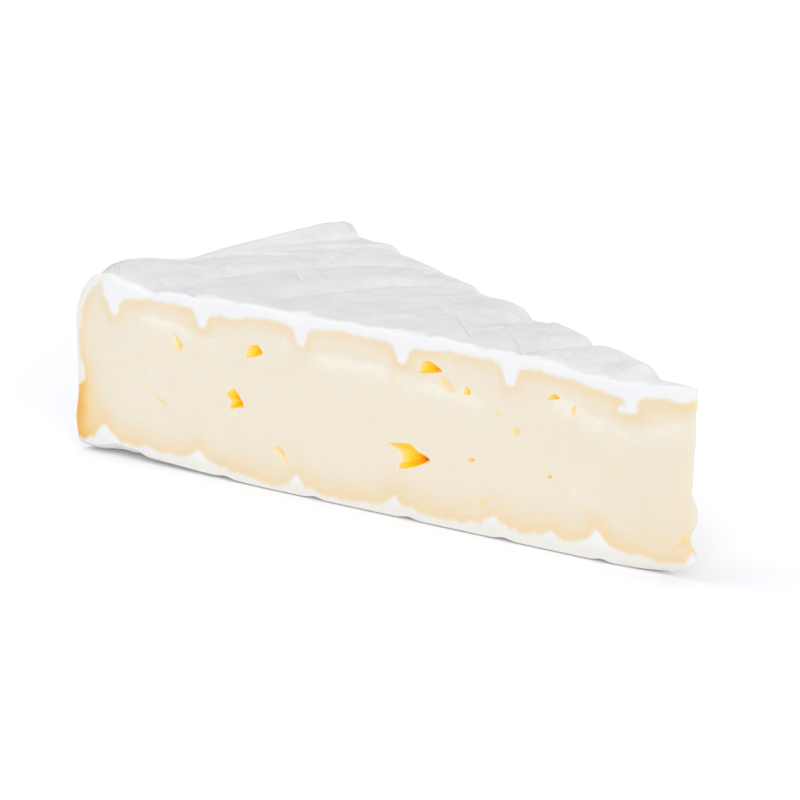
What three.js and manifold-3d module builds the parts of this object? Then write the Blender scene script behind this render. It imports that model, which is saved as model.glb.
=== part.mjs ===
// A wedge of brie, cut from a flat round wheel.
//
// Millimetres, +Z up. The wedge lies on the plane z = 0 with its tip towards +X, the rim of the
// wheel towards -X and its two cut faces towards -Y (the front) and +Y (the back). The origin is
// under the middle of the wedge.
//
// The wedge is one solid. Any point on it has three coordinates:
//   bay   0 at the tip, 1 to 6 on the creases that the draining mat pressed, 7 at the rim
//   side  -1 on the front cut face, +1 on the back one
//   rise  0 on the underside, 1 on the top

import * as THREE from 'three';
import Module from 'manifold-3d';
import { mergeVertices } from 'three/addons/utils/BufferGeometryUtils.js';

const { lerp, smoothstep, clamp } = THREE.MathUtils;

// The wheel and the cut
const WHEEL_RADIUS = 164.7;
const WEDGE_ANGLE = THREE.MathUtils.degToRad(23.6);
const HEIGHT = 36.0;
const HALF_ANGLE = WEDGE_ANGLE / 2;
const TIP = new THREE.Vector2(82.05, -0.25);

// The mat's creases on the top: how far each is from the tip at the front cut and at the back
// one, how far it bows towards the rim between them, and how deep it is near the front and back
const TOP_CREASES = [
  { front: 15.3, back: 15.4, bow: -2.5, depthFront: 0.9, depthBack: 1.6 },
  { front: 46.5, back: 44.4, bow: -0.5, depthFront: 0.8, depthBack: 1.4 },
  { front: 74.2, back: 74.4, bow: -5.0, depthFront: 0.8, depthBack: 1.2 },
  { front: 102.0, back: 95.6, bow: 17.0, depthFront: 0.7, depthBack: 1.3 },
  { front: 129.8, back: 115.2, bow: 17.0, depthFront: 0.7, depthBack: 0.6 },
  { front: 154.2, back: 140.0, bow: 11.0, depthFront: 0.4, depthBack: 0.7 },
];
const CREASE_SQUARENESS = 5;
const CREASE_RIM_GAP = 2.0;
const UNDER_CREASE_START = 22.6;
const UNDER_CREASE_PITCH = 25.1;
const UNDER_CREASE_DEPTH = 0.8;
const UNDER_CREASE_REACH = 0.14;
const RIM_BAY = TOP_CREASES.length + 1;

// The pads between the creases: how far they crown, and where they rise and fall across a bay
const PAD_CROWN_FRONT = 0.6;
const PAD_CROWN_BACK = 0.85;
const PAD_RISE_FRONT = 0.36;
const PAD_RISE_BACK = 0.2;
const PAD_FALL_FRONT = 0.82;
const PAD_FALL_BACK = 0.7;

// Where the top meets a cut face, the rind rounds over: how far down and how far in between the
// creases, and how much more where a crease meets the cut. That dip trails towards the tip.
const EDGE_DROP = 0.6;
const EDGE_REACH = 1.1;
const EDGE_DROP_AT_CREASE = 0.3;
const EDGE_REACH_AT_CREASE = 3.0;
const DIP_RIMWARD = 3.2;
const DIP_TIPWARD = 5.5;

// Along a cut the underside curls up a little
const CUT_FOOT_LIFT = 0.32;
const CUT_FOOT_REACH = 2.6;

// The rim: its rounded shoulder, its foot, and the lip that stands up towards the back corner
const SHOULDER_FRONT = 8.6;
const SHOULDER_BACK = 1.6;
const SHOULDER_FRONT_HEIGHT = 11.6;
const FRONT_BULGE = 0.65;
const FOOT_BULGE = { size: 0.98, at: 4.6, reach: 3.6 };
const FOOT_RADIUS = 1.8;
const FOOT_RADIUS_FRONT = 0.5;
const LIP_FROM_SIDE = -0.15;
const LIP_TO_SIDE = 0.8;
const LIP_HEIGHT = 3.1;
const LIP_THICKNESS = 1.3;
const LIP_SLOPE = 1.7;
const LIP_END = 0.92;
const LIP_END_DROP = 2.8;
const RIM_WAVE = 0.35;
const RIM_FLARE = 3.25;
const RIM_FLARE_FROM = 0.7;

// Slow swells of the top: size, how far from the tip, and reach
const FRONT_SETTLE = 0.5;
const BELLY = { size: 0.6, at: 66, reach: 17 };
const TIP_DIP = { size: -1.0, at: 24, reach: 10 };
const TIP_PEAK = { size: 0.35, at: 0, reach: 7 };
const FRONT_SAG = { size: -0.5, at: 139, reach: 10 };
const FRONT_NOTCH = { size: -1.1, at: 144.2, reach: 3.2 };
const BACK_SWELLS = [
  { size: 0.8, at: 145.0, reach: 6 },
  { size: -0.7, at: 99.0, reach: 3 },
  { size: -0.5, at: 92.0, reach: 3 },
  { size: -1.1, at: 67.7, reach: 4 },
];
const CORNER_SWELL = 1.15;
const RIM_DIP = { size: -0.55, at: -0.24, reach: 0.2 };

// The underside sags to the plane that it rests on and lifts towards both ends
const TIP_LIFT = 1.0;
const TIP_LIFT_REACH = 16;
const RIM_LIFT = 1.7;
const RIM_LIFT_REACH = 55;
const END_LIFT_INSIDE = 0.35;
const END_LIFT_REACH = 5.0;
const FOOT_FOLD = { size: 0.95, at: 152.5, reach: 4.5 };
const FOOT_DIP = { size: -0.5, at: 160.0, reach: 3.0 };

// The tip edge, as heights and how far it stands back from where the two faces would meet: it
// leans back, bulges low down where the knife pushed the paste over, and rounds off at its foot
const TIP_PROFILE = [
  [0.3, 6.5], [0.9, 3.3], [1.7, 1.2], [2.8, -0.5], [4.2, -1.0], [5.0, -0.2], [6.0, 0.7], [7.4, 1.0],
  [9.2, -0.4], [10.4, -1.3], [12.8, -1.3], [13.8, -0.8], [15.5, 0.8], [19.2, 0.3], [23.1, 0.2],
  [26.2, -0.4], [31.4, -0.2], [32.4, -0.7], [36.0, -0.75],
];

// Folds of the top rind: from where to where, as distance from the tip and side, and how deep
const FOLDS = [
  { from: [157.3, -0.22], to: [146.8, -0.52], depth: 0.3 },
  { from: [136.4, 0.09], to: [122.3, -0.2], depth: 0.4 },
  { from: [133.7, 0.23], to: [124.6, 0.11], depth: 0.3 },
  { from: [111.5, -0.26], to: [101.2, -0.6], depth: 0.3 },
  { from: [106.1, -0.3], to: [92.1, -0.97], depth: 0.3 },
  { from: [125.7, 0.6], to: [103.7, 0.35], depth: 0.35 },
  { from: [90.5, 0.28], to: [79.4, 0.01], depth: 0.4 },
  { from: [78.3, 0.11], to: [61.0, -0.62], depth: 0.45 },
  { from: [66.4, 0.39], to: [54.9, -0.14], depth: 0.35 },
  { from: [54.9, -0.14], to: [44.5, -0.76], depth: 0.45 },
  { from: [43.1, -0.13], to: [29.5, -0.9], depth: 0.3 },
  { from: [38.4, 0.72], to: [22.8, -0.8], depth: 0.3 },
];
const FOLD_HALF_WIDTH = 1.1;

// Eyes, the torn holes in the paste: the corners of each one as distance from the tip and height,
// its deepest point, and its depth
const FRONT_EYES = [
  {
    corners: [[117.1, 25.8], [116.1, 28.0], [113.4, 28.6], [112.2, 27.1], [113.2, 26.4]],
    deepest: [113.3, 27.2],
    depth: 2.0,
  },
  {
    corners: [[122.6, 17.3], [120.0, 18.9], [118.9, 17.7], [117.5, 15.4], [121.8, 14.3], [121.0, 16.2]],
    deepest: [118.7, 16.4],
    depth: 2.8,
  },
  {
    corners: [[78.0, 14.4], [72.3, 15.1], [66.9, 12.6], [70.2, 11.0], [75.8, 9.7], [74.4, 11.4], [74.7, 12.8]],
    deepest: [68.9, 12.6],
    depth: 3.1,
  },
  { corners: [[69.9, 29.2], [69.0, 31.7], [67.0, 31.9], [63.8, 30.4]], deepest: [65.2, 30.8], depth: 2.4 },
  { corners: [[58.6, 26.9], [57.9, 28.4], [56.3, 27.5]], deepest: [57.0, 27.4], depth: 1.0 },
  { corners: [[37.1, 28.9], [34.8, 30.3], [33.5, 29.7]], deepest: [34.5, 29.7], depth: 1.0 },
  { corners: [[137.3, 27.6], [136.3, 27.5], [134.7, 25.0], [136.9, 24.5]], deepest: [135.6, 25.4], depth: 0.6 },
  { corners: [[109.9, 8.5], [108.6, 9.3], [106.3, 8.1], [104.6, 5.2]], deepest: [107.0, 7.8], depth: 0.4 },
];
const BACK_EYES = [
  {
    corners: [[134.2, 20.6], [132.4, 23.6], [129.8, 23.9], [128.6, 22.2], [130.4, 21.2]],
    deepest: [130.2, 22.4],
    depth: 2.1,
  },
  {
    corners: [[101.2, 9.0], [99.4, 12.2], [96.2, 13.2], [93.2, 12.0], [94.6, 10.2], [99.6, 8.0]],
    deepest: [95.6, 11.2],
    depth: 2.8,
  },
  { corners: [[90.4, 25.6], [89.0, 27.8], [86.9, 27.6], [87.4, 25.8]], deepest: [88.0, 26.7], depth: 1.5 },
  { corners: [[62.8, 17.8], [60.6, 19.6], [57.6, 19.4], [58.6, 18.2]], deepest: [59.0, 18.6], depth: 1.8 },
  { corners: [[42.3, 25.2], [41.0, 26.5], [39.7, 25.7]], deepest: [40.8, 25.6], depth: 1.4 },
  { corners: [[113.4, 29.3], [112.0, 30.2], [110.6, 29.5], [112.0, 28.7]], deepest: [111.8, 29.5], depth: 1.4 },
];
const EYE_COLLAR = 0.9;
const EYE_STEPS = [[1, 0], [0.72, 0.4], [0.35, 0.73]];

// How finely the faces are divided, in millimetres, and where up a cut face
const STATION_SPACING = 1.7;
const TOP_SPACING = 1.65;
const RIM_SPACING = 2.2;
const UNDER_SPACING = 5.2;
const EDGE_POINTS = [0.45, 1.2];
const MIDDLE_RISES = [0, 0.33, 0.67, 1];
const END_RISES = [
  0, 0.01, 0.025, 0.05, 0.117, 0.17, 0.205, 0.256, 0.325, 0.383, 0.43, 0.64, 0.74, 0.82, 0.872, 0.906,
  0.94, 0.97, 0.99, 1,
];

// Shape of the wheel

const bell = (distance, reach) => Math.exp(-((distance / reach) ** 2));
const swell = ({ size, at, reach }, place) => size * bell(place - at, reach);

// A quarter round: 1 at the edge, falling to 0 at its reach
const fillet = (distance, reach) => 1 - Math.sqrt(1 - clamp(1 - distance / reach, 0, 1) ** 2);

// From 0 on the front cut face to 1 on the back one
const backness = (side) => (side + 1) / 2;

function creaseDepth(line, side) {
  if (line < 1 || line >= RIM_BAY) return 0;
  const { depthFront, depthBack } = TOP_CREASES[line - 1];
  return lerp(depthFront, depthBack, backness(side));
}

// The pads between creases are steep beside each crease and nearly flat in their middle
function padRelief(bay, side) {
  const line = Math.min(Math.floor(bay), RIM_BAY - 1);
  const across = bay - line;
  const atEdge = 1 - 0.75 * bell(side + 1, 0.22);
  const crown = lerp(PAD_CROWN_FRONT, PAD_CROWN_BACK, backness(side)) * atEdge
    * (1 - smoothstep(bay, RIM_BAY - 0.8, RIM_BAY));
  const near = creaseDepth(line, side) * atEdge;
  const far = creaseDepth(line + 1, side) * atEdge;
  if (line === 0) return (crown - far) * smoothstep(across, 0, 1);
  const riseEnd = lerp(PAD_RISE_FRONT, PAD_RISE_BACK, smoothstep(side, 0, 1));
  const fallStart = lerp(PAD_FALL_FRONT, PAD_FALL_BACK, smoothstep(side, 0, 1));
  const rising = Math.sin(Math.PI / 2 * clamp(across / riseEnd, 0, 1));
  const falling = Math.sin(Math.PI / 2 * clamp((1 - across) / (1 - fallStart), 0, 1));
  return crown - near * (1 - rising) - far * (1 - falling);
}

const lipStrength = (side) => clamp((side - LIP_FROM_SIDE) / (LIP_TO_SIDE - LIP_FROM_SIDE), 0, 1);

// The lip along the rim is highest at the back corner, where the wheel's edge curled up
function lipRelief(inset, side) {
  const strength = lipStrength(side);
  const end = clamp((side - LIP_END) / (1 - LIP_END), 0, 1);
  const height = LIP_HEIGHT * strength - LIP_END_DROP * (1 - Math.sqrt(1 - end ** 2));
  const foot = LIP_THICKNESS + LIP_SLOPE * lerp(2, 1, strength);
  return height * (1 - smoothstep(inset, LIP_THICKNESS, foot));
}

// From 0 between the creases to 1 where one of them meets a cut face
function creaseDip(out, face) {
  const strengths = TOP_CREASES.map((crease) => {
    const away = out - (face < 0 ? crease.front : crease.back);
    return bell(away, away > 0 ? DIP_RIMWARD : DIP_TIPWARD);
  });
  return Math.max(...strengths);
}

// How far the rind rounds over towards each cut face
function edgeDrop(side, out) {
  const nearRim = smoothstep(WHEEL_RADIUS - out, 6, 14);
  const drops = [-1, 1].map((face) => {
    const distance = out * HALF_ANGLE * (1 - face * side);
    const dip = creaseDip(out, face);
    const reach = lerp(EDGE_REACH, EDGE_REACH_AT_CREASE, dip) + 1.2 * bell(out - 14, 14);
    return (EDGE_DROP + EDGE_DROP_AT_CREASE * dip) * fillet(distance, reach);
  });
  return Math.max(...drops) * nearRim;
}

const planPoint = ([out, side]) => new THREE.Vector2(
  TIP.x - out * Math.cos(side * HALF_ANGLE),
  TIP.y + out * Math.sin(side * HALF_ANGLE),
);

// Every fold is a groove along a straight line that fades out at both ends
function foldRelief(plan) {
  let relief = 0;
  for (const { from, to, depth } of FOLDS) {
    const start = planPoint(from);
    const run = planPoint(to).sub(start);
    const offset = plan.clone().sub(start);
    const along = offset.dot(run) / run.lengthSq();
    const distance = Math.abs(offset.cross(run)) / run.length();
    const taper = 1 - smoothstep(Math.abs(along - 0.5), 0.3, 0.62);
    relief -= depth * bell(distance, FOLD_HALF_WIDTH) * taper;
  }
  return relief;
}

function topHeight(bay, side, out) {
  const inset = WHEEL_RADIUS - out;
  const front = swell(BELLY, out) + swell(FRONT_SAG, out) + swell(TIP_DIP, out) - FRONT_SETTLE;
  const back = BACK_SWELLS.reduce((sum, shape) => sum + swell(shape, out), 0);
  const swells = front * (1 - backness(side)) + back * smoothstep(side, 0.2, 0.95)
    + swell(FRONT_NOTCH, out) * bell(side + 1, 0.25) + swell(TIP_PEAK, out);
  const corner = CORNER_SWELL * (1 - smoothstep(side, -0.75, -0.25)) + swell(RIM_DIP, side);
  const cornerHere = corner * (1 - smoothstep(inset, 6, 14));
  const lip = lipRelief(rimRadius(side, 1) - out, side);
  return HEIGHT + EDGE_DROP + padRelief(bay, side) + swells + cornerHere + lip - edgeDrop(side, out);
}

// The underside is flat where it rests, and lifts in its creases, at its ends and along the cuts
function underHeight(bay, side, out) {
  const line = clamp(Math.round(bay), 1, RIM_BAY - 1);
  const crease = UNDER_CREASE_DEPTH * (1 - smoothstep(Math.abs(bay - line), 0, UNDER_CREASE_REACH))
    * (1 - 0.5 * Math.abs(side) ** 8);
  const tip = TIP_LIFT * (1 - smoothstep(out, 0, TIP_LIFT_REACH));
  const rim = RIM_LIFT * smoothstep(out, WHEEL_RADIUS - RIM_LIFT_REACH, WHEEL_RADIUS);
  const fromCut = out * HALF_ANGLE * (1 - Math.abs(side));
  const ends = (rim + swell(FOOT_FOLD, out) + swell(FOOT_DIP, out))
    * lerp(END_LIFT_INSIDE, 1, fillet(fromCut, END_LIFT_REACH));
  return crease + tip + ends + CUT_FOOT_LIFT * fillet(fromCut, CUT_FOOT_REACH);
}

// How far the rim stands from the axis of the wheel
function rimRadius(side, rise) {
  const up = rise * HEIGHT;
  const atFront = 1 - smoothstep(side, -1, -0.7);
  const shoulder = lerp(SHOULDER_BACK, SHOULDER_FRONT, atFront);
  const shoulderHeight = lerp(SHOULDER_BACK, SHOULDER_FRONT_HEIGHT, atFront);
  const overShoulder = clamp((up - HEIGHT + shoulderHeight) / shoulderHeight, 0, 1);
  const foot = lerp(FOOT_RADIUS, FOOT_RADIUS_FRONT, atFront);
  const underFoot = clamp((foot - up) / foot, 0, 1);
  const shoulderCut = shoulder * (1 - Math.sqrt(1 - overShoulder ** 2));
  const footCut = foot * (1 - Math.sqrt(1 - underFoot ** 2));
  const wave = RIM_WAVE * Math.sin(Math.PI * side) ** 2 * Math.sin(Math.PI * rise);
  const flare = RIM_FLARE * lipStrength(side) ** 2 * smoothstep(rise, RIM_FLARE_FROM, 1);
  const bulge = (FRONT_BULGE * bell(rise - 0.7, 0.3) + swell(FOOT_BULGE, up)) * atFront;
  return WHEEL_RADIUS + flare + bulge - wave - shoulderCut - footCut;
}

// How far the tip edge stands back from the point of the sector
function tipInset(rise) {
  const up = rise * HEIGHT;
  const next = TIP_PROFILE.findIndex(([height]) => height >= up);
  if (next < 1) return TIP_PROFILE.at(next)[1];
  const [lowHeight, lowInset] = TIP_PROFILE[next - 1];
  const [highHeight, highInset] = TIP_PROFILE[next];
  return lerp(lowInset, highInset, (up - lowHeight) / (highHeight - lowHeight));
}

// A point of the tip edge, a crease line or the rim, seen from above
function linePoint(line, side, rise) {
  if (line === 0) return new THREE.Vector2(TIP.x - tipInset(rise), TIP.y);
  if (line === RIM_BAY) return planPoint([rimRadius(side, rise), side]);
  const { front, back, bow } = TOP_CREASES[line - 1];
  const bowed = lerp(front, back, backness(side)) + bow * (1 - Math.abs(side) ** CREASE_SQUARENESS);
  const topCrease = Math.min(bowed, rimRadius(side, 1) - CREASE_RIM_GAP);
  const underCrease = UNDER_CREASE_START + UNDER_CREASE_PITCH * (line - 1);
  return planPoint([lerp(underCrease, topCrease, rise), side]);
}

function wedgePoint(bay, side, rise) {
  const line = Math.min(Math.floor(bay), RIM_BAY - 1);
  const plan = linePoint(line, side, rise).lerp(linePoint(line + 1, side, rise), bay - line);
  const out = plan.distanceTo(TIP);
  const fromCut = out * HALF_ANGLE * (1 - Math.abs(side));
  const top = topHeight(bay, side, out) + foldRelief(plan) * smoothstep(fromCut, -0.4, 2);
  return new THREE.Vector3(plan.x, plan.y, lerp(underHeight(bay, side, out), top, rise));
}

// Faces of the wedge, stitched from rows of points

// Places across the wedge from the front to the back, closer together beside the cuts
function sidesAcross(half, spacing) {
  const count = Math.max(1, Math.round((2 * half) / spacing));
  const even = Array.from({ length: count + 1 }, (_, i) => -1 + (2 * i) / count);
  if (half < 4) return even;
  const near = EDGE_POINTS.map((distance) => 1 - distance / half);
  const inner = even.filter((side) => Math.abs(side) < near.at(-1) - (0.3 * spacing) / half);
  return [-1, ...near.map((side) => -side), ...inner, ...near.reverse(), 1];
}

// A row across the wedge; at the tip it is a single point
function rowAcross(bay, rise, spacing) {
  const half = Math.sin(HALF_ANGLE) * WHEEL_RADIUS * (bay / RIM_BAY);
  const sides = bay === 0 ? [0] : sidesAcross(half, bay === RIM_BAY ? RIM_SPACING : spacing);
  return sides.map((side) => ({ at: side, point: wedgePoint(bay, side, rise) }));
}

// A row up a cut face; the tip edge is the same from both faces
function rowUp(bay, face) {
  const side = bay === 0 ? 0 : face;
  const rises = bay < 1 || bay > RIM_BAY - 0.5 ? END_RISES : MIDDLE_RISES;
  return rises.map((rise) => ({ at: rise, point: wedgePoint(bay, side, rise) }));
}

// Fills the strip between two rows with triangles, always taking the shorter step forward
function stitch(near, far) {
  const triangles = [];
  let i = 0;
  let j = 0;
  while (i < near.length - 1 || j < far.length - 1) {
    const nextNear = i < near.length - 1 ? near[i + 1].at : Infinity;
    const nextFar = j < far.length - 1 ? far[j + 1].at : Infinity;
    if (nextNear <= nextFar) {
      triangles.push(near[i].point, near[i + 1].point, far[j].point);
      i += 1;
    } else {
      triangles.push(near[i].point, far[j + 1].point, far[j].point);
      j += 1;
    }
  }
  return triangles;
}

const stitchRows = (rows) => rows.slice(1).flatMap((row, i) => stitch(rows[i], row));

// Bays are divided by their length along the front cut
function bayStations() {
  const lines = [0, ...TOP_CREASES.map((crease) => crease.front), WHEEL_RADIUS];
  const stations = [];
  for (let line = 0; line < RIM_BAY; line += 1) {
    const count = Math.round((lines[line + 1] - lines[line]) / STATION_SPACING);
    for (let i = 0; i < count; i += 1) stations.push(line + i / count);
  }
  return [...stations, RIM_BAY];
}

function wedgeGeometry() {
  const bays = bayStations();
  const inward = [...bays].reverse();
  const downward = [...END_RISES].reverse();
  return new THREE.BufferGeometry().setFromPoints([
    ...stitchRows(bays.map((bay) => rowAcross(bay, 1, TOP_SPACING))),
    ...stitchRows(inward.map((bay) => rowAcross(bay, 0, UNDER_SPACING))),
    ...stitchRows(bays.map((bay) => rowUp(bay, -1))),
    ...stitchRows(inward.map((bay) => rowUp(bay, 1))),
    ...stitchRows(downward.map((rise) => rowAcross(RIM_BAY, rise, TOP_SPACING))),
  ]);
}

// A point in a cut face, so many millimetres under its surface
function facePoint([out, up], down, face) {
  const plan = planPoint([out, face]);
  return new THREE.Vector3(
    plan.x - down * Math.sin(HALF_ANGLE),
    plan.y - down * face * Math.cos(HALF_ANGLE),
    up,
  );
}

// The body of an eye: a lid just outside the cut face, and rings that shrink to the deepest point
function eyeGeometry({ corners, deepest, depth }, face) {
  const ring = (spread, down) => corners.map(([out, up]) => {
    const place = [lerp(deepest[0], out, spread), lerp(deepest[1], up, spread)];
    return facePoint(place, down, face);
  });
  const rings = [ring(1, -EYE_COLLAR), ...EYE_STEPS.map(([spread, share]) => ring(spread, share * depth))];
  const lid = facePoint(deepest, -EYE_COLLAR, face);
  const floor = facePoint(deepest, depth, face);
  const points = [];
  corners.forEach((_, i) => {
    const j = (i + 1) % corners.length;
    points.push(lid, rings[0][j], rings[0][i]);
    rings.slice(1).forEach((lower, k) => {
      const upper = rings[k];
      points.push(upper[i], upper[j], lower[i], upper[j], lower[j], lower[i]);
    });
    const last = rings.at(-1);
    points.push(last[i], last[j], floor);
  });
  if (face > 0) points.reverse();
  return new THREE.BufferGeometry().setFromPoints(points);
}

// Joining and cutting

const wasm = await Module();
wasm.setup();

function solid(geometry) {
  const merged = mergeVertices(geometry, 1e-4);
  return new wasm.Manifold(new wasm.Mesh({
    numProp: 3,
    vertProperties: merged.attributes.position.array,
    triVerts: new Uint32Array(merged.index.array),
  }));
}

function geometryOf(manifold) {
  const mesh = manifold.getMesh();
  const geometry = new THREE.BufferGeometry();
  geometry.setAttribute('position', new THREE.BufferAttribute(mesh.vertProperties, 3));
  geometry.setIndex(new THREE.BufferAttribute(mesh.triVerts, 1));
  geometry.computeVertexNormals();
  return geometry;
}

let wedge = solid(wedgeGeometry());
for (const eye of FRONT_EYES) wedge = wedge.subtract(solid(eyeGeometry(eye, -1)));
for (const eye of BACK_EYES) wedge = wedge.subtract(solid(eyeGeometry(eye, 1)));

// Cream paste inside a white bloomy rind

const cheese = new THREE.MeshStandardMaterial({ color: 0xf3ead7, roughness: 0.55, metalness: 0 });

const mesh = new THREE.Mesh(geometryOf(wedge), cheese);
mesh.name = 'cheese_wedge';

const part = new THREE.Group();
part.add(mesh);

export default part;
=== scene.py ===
import math

import bpy
import numpy as np
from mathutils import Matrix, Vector, kdtree


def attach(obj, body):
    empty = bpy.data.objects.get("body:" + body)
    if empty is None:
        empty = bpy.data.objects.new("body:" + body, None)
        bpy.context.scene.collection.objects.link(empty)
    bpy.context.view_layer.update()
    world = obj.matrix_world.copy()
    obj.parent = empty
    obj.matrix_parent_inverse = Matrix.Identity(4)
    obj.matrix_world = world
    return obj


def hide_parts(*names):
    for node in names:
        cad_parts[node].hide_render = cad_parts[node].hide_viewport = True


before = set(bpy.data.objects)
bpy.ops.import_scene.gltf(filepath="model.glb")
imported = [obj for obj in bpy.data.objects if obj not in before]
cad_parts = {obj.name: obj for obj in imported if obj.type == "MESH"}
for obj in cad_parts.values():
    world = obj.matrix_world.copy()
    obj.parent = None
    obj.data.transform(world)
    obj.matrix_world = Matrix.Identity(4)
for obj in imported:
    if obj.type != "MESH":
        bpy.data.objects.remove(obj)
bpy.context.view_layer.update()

# A wedge of brie, dressed around its solid. The shape is worked out in millimetres, in the
# frame of the solid: the tip points to +X, the rim of the wheel is at -X, the front cut face is
# towards -Y. Any point of the skin or of a cut face has three coordinates:
#   bay   0 at the tip, 1 to 6 on the creases that the draining mat pressed, 7 at the rim
#   side  -1 on the front cut face, +1 on the back one
#   rise  0 on the underside, 1 on the top

MM = 0.001

# The wheel and the cut
WHEEL_RADIUS = 164.7
WEDGE_ANGLE = math.radians(23.6)
HEIGHT = 36.0
TIP_X = 82.05
TIP_Y = -0.25
HALF_ANGLE = WEDGE_ANGLE / 2

# The mat's creases on the top: how far each is from the tip at the front cut and at the back
# one, how far it bows towards the rim between them, and how deep it is near the front and back
TOP_CREASES = [
    (15.3, 15.4, -2.5, 0.9, 1.6), (46.5, 44.4, -0.5, 0.8, 1.4), (74.2, 74.4, -5, 0.8, 1.2),
    (102, 95.6, 17, 0.7, 1.3), (129.8, 115.2, 17, 0.7, 0.6), (154.2, 140, 11, 0.4, 0.7),
]
CREASE_ROWS = np.array([[0] * 5, *TOP_CREASES, [0] * 5]).T
CREASE_SQUARENESS = 5
CREASE_RIM_GAP = 2.0
UNDER_CREASE_START = 22.6
UNDER_CREASE_PITCH = 25.1
UNDER_CREASE_DEPTH = 0.8
UNDER_CREASE_REACH = 0.14
RIM_BAY = len(TOP_CREASES) + 1

# The pads between the creases, at the front and at the back: how far they crown, and where
# they rise and fall across a bay. They are flatter beside the front cut and towards the rim.
PAD_CROWN = (0.6, 0.85)
PAD_RISE = (0.36, 0.2)
PAD_FALL = (0.82, 0.7)
PAD_FLATTENING = (0.75, -1, 0.22)
CROWN_FADE = 0.8

# Where the top meets a cut face, the rind rounds over: how far down and how far in between the
# creases, and how much more where a crease meets the cut. That dip trails towards the tip.
EDGE_DROP = 0.6
EDGE_DROP_UNEVEN = 0.25
EDGE_DROP_AT_CREASE = 0.3
EDGE_REACH = 1.1
EDGE_REACH_UNEVEN = 0.35
EDGE_REACH_AT_CREASE = 3.0
EDGE_REACH_AT_TIP = (1.2, 14, 14)
DIP_RIMWARD = 3.2
DIP_TIPWARD = 5.5

# Along a cut the underside curls up a little
CUT_FOOT_LIFT = 0.32
CUT_FOOT_REACH = 2.6

# The rim: its rounded shoulder, its foot, and the lip that stands up towards the back corner
SHOULDER_FRONT = 8.6
SHOULDER_BACK = 1.6
SHOULDER_FRONT_HEIGHT = 11.6
FRONT_CORNER_SIDES = (-1.0, -0.7)
FRONT_BULGE = (0.6, 0.7, 0.3)
FOOT_BULGE = (0.9, 4.6, 3.6)
FOOT_RADIUS = 1.8
FOOT_RADIUS_FRONT = 0.5
LIP_SIDES = (-0.15, 0.8)
LIP_HEIGHT = 3.0
LIP_THICKNESS = 1.3
LIP_SLOPE = 1.7
LIP_END = 0.92
LIP_END_DROP = 2.8
RIM_WAVE = 0.35
RIM_FLARE = 3.2
RIM_FLARE_FROM = 0.7

# Slow swells of the top: height, how far from the tip, and reach. Other values give the sides or
# the insets from the rim between which a swell comes or goes, and the last one goes by side.
FRONT_SETTLE = 0.5
BELLY = (0.6, 66, 17)
TIP_DIP = (-1.0, 24, 10)
TIP_PEAK = (0.35, 0, 7)
FRONT_SAG = (-0.5, 139, 10)
FRONT_NOTCH = (-1.1, 144.2, 3.2)
FRONT_NOTCH_REACH = 0.25
BACK_SWELLS = [(0.8, 145, 6), (-0.7, 99, 3), (-0.5, 92, 3), (-1.1, 67.7, 4)]
BACK_SWELL_SIDES = (0.2, 0.95)
CORNER_SWELL = 1.15
CORNER_SWELL_SIDES = (-0.75, -0.25)
CORNER_SWELL_INSETS = (6.0, 14.0)
RIM_DIP = (-0.55, -0.24, 0.2)

# The underside sags to the plane that it rests on and lifts towards both ends
TIP_LIFT = 1.0
TIP_LIFT_REACH = 16
RIM_LIFT = 1.7
RIM_LIFT_REACH = 55
END_LIFT_INSIDE = 0.35
END_LIFT_REACH = 5.0
FOOT_FOLD = (0.95, 152.5, 4.5)
FOOT_DIP = (-0.5, 160.0, 3.0)

# The tip edge, as heights and how far it stands back from where the two faces would meet: it
# leans back, bulges low down where the knife pushed the paste over, and rounds off at its foot
TIP_PROFILE = [
    (0.3, 6.5), (0.9, 3.3), (1.7, 1.2), (2.8, -0.5), (4.2, -1), (5, -0.2), (6, 0.7), (7.4, 1),
    (9.2, -0.4), (10.9, -1.2), (12.6, -1.25), (13.8, -0.8), (15.5, 0.8), (19.2, 0.3), (23.1, 0.2),
    (26.2, -0.4), (31.4, -0.2), (32.4, -0.7), (36.5, -0.75),
]

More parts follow.
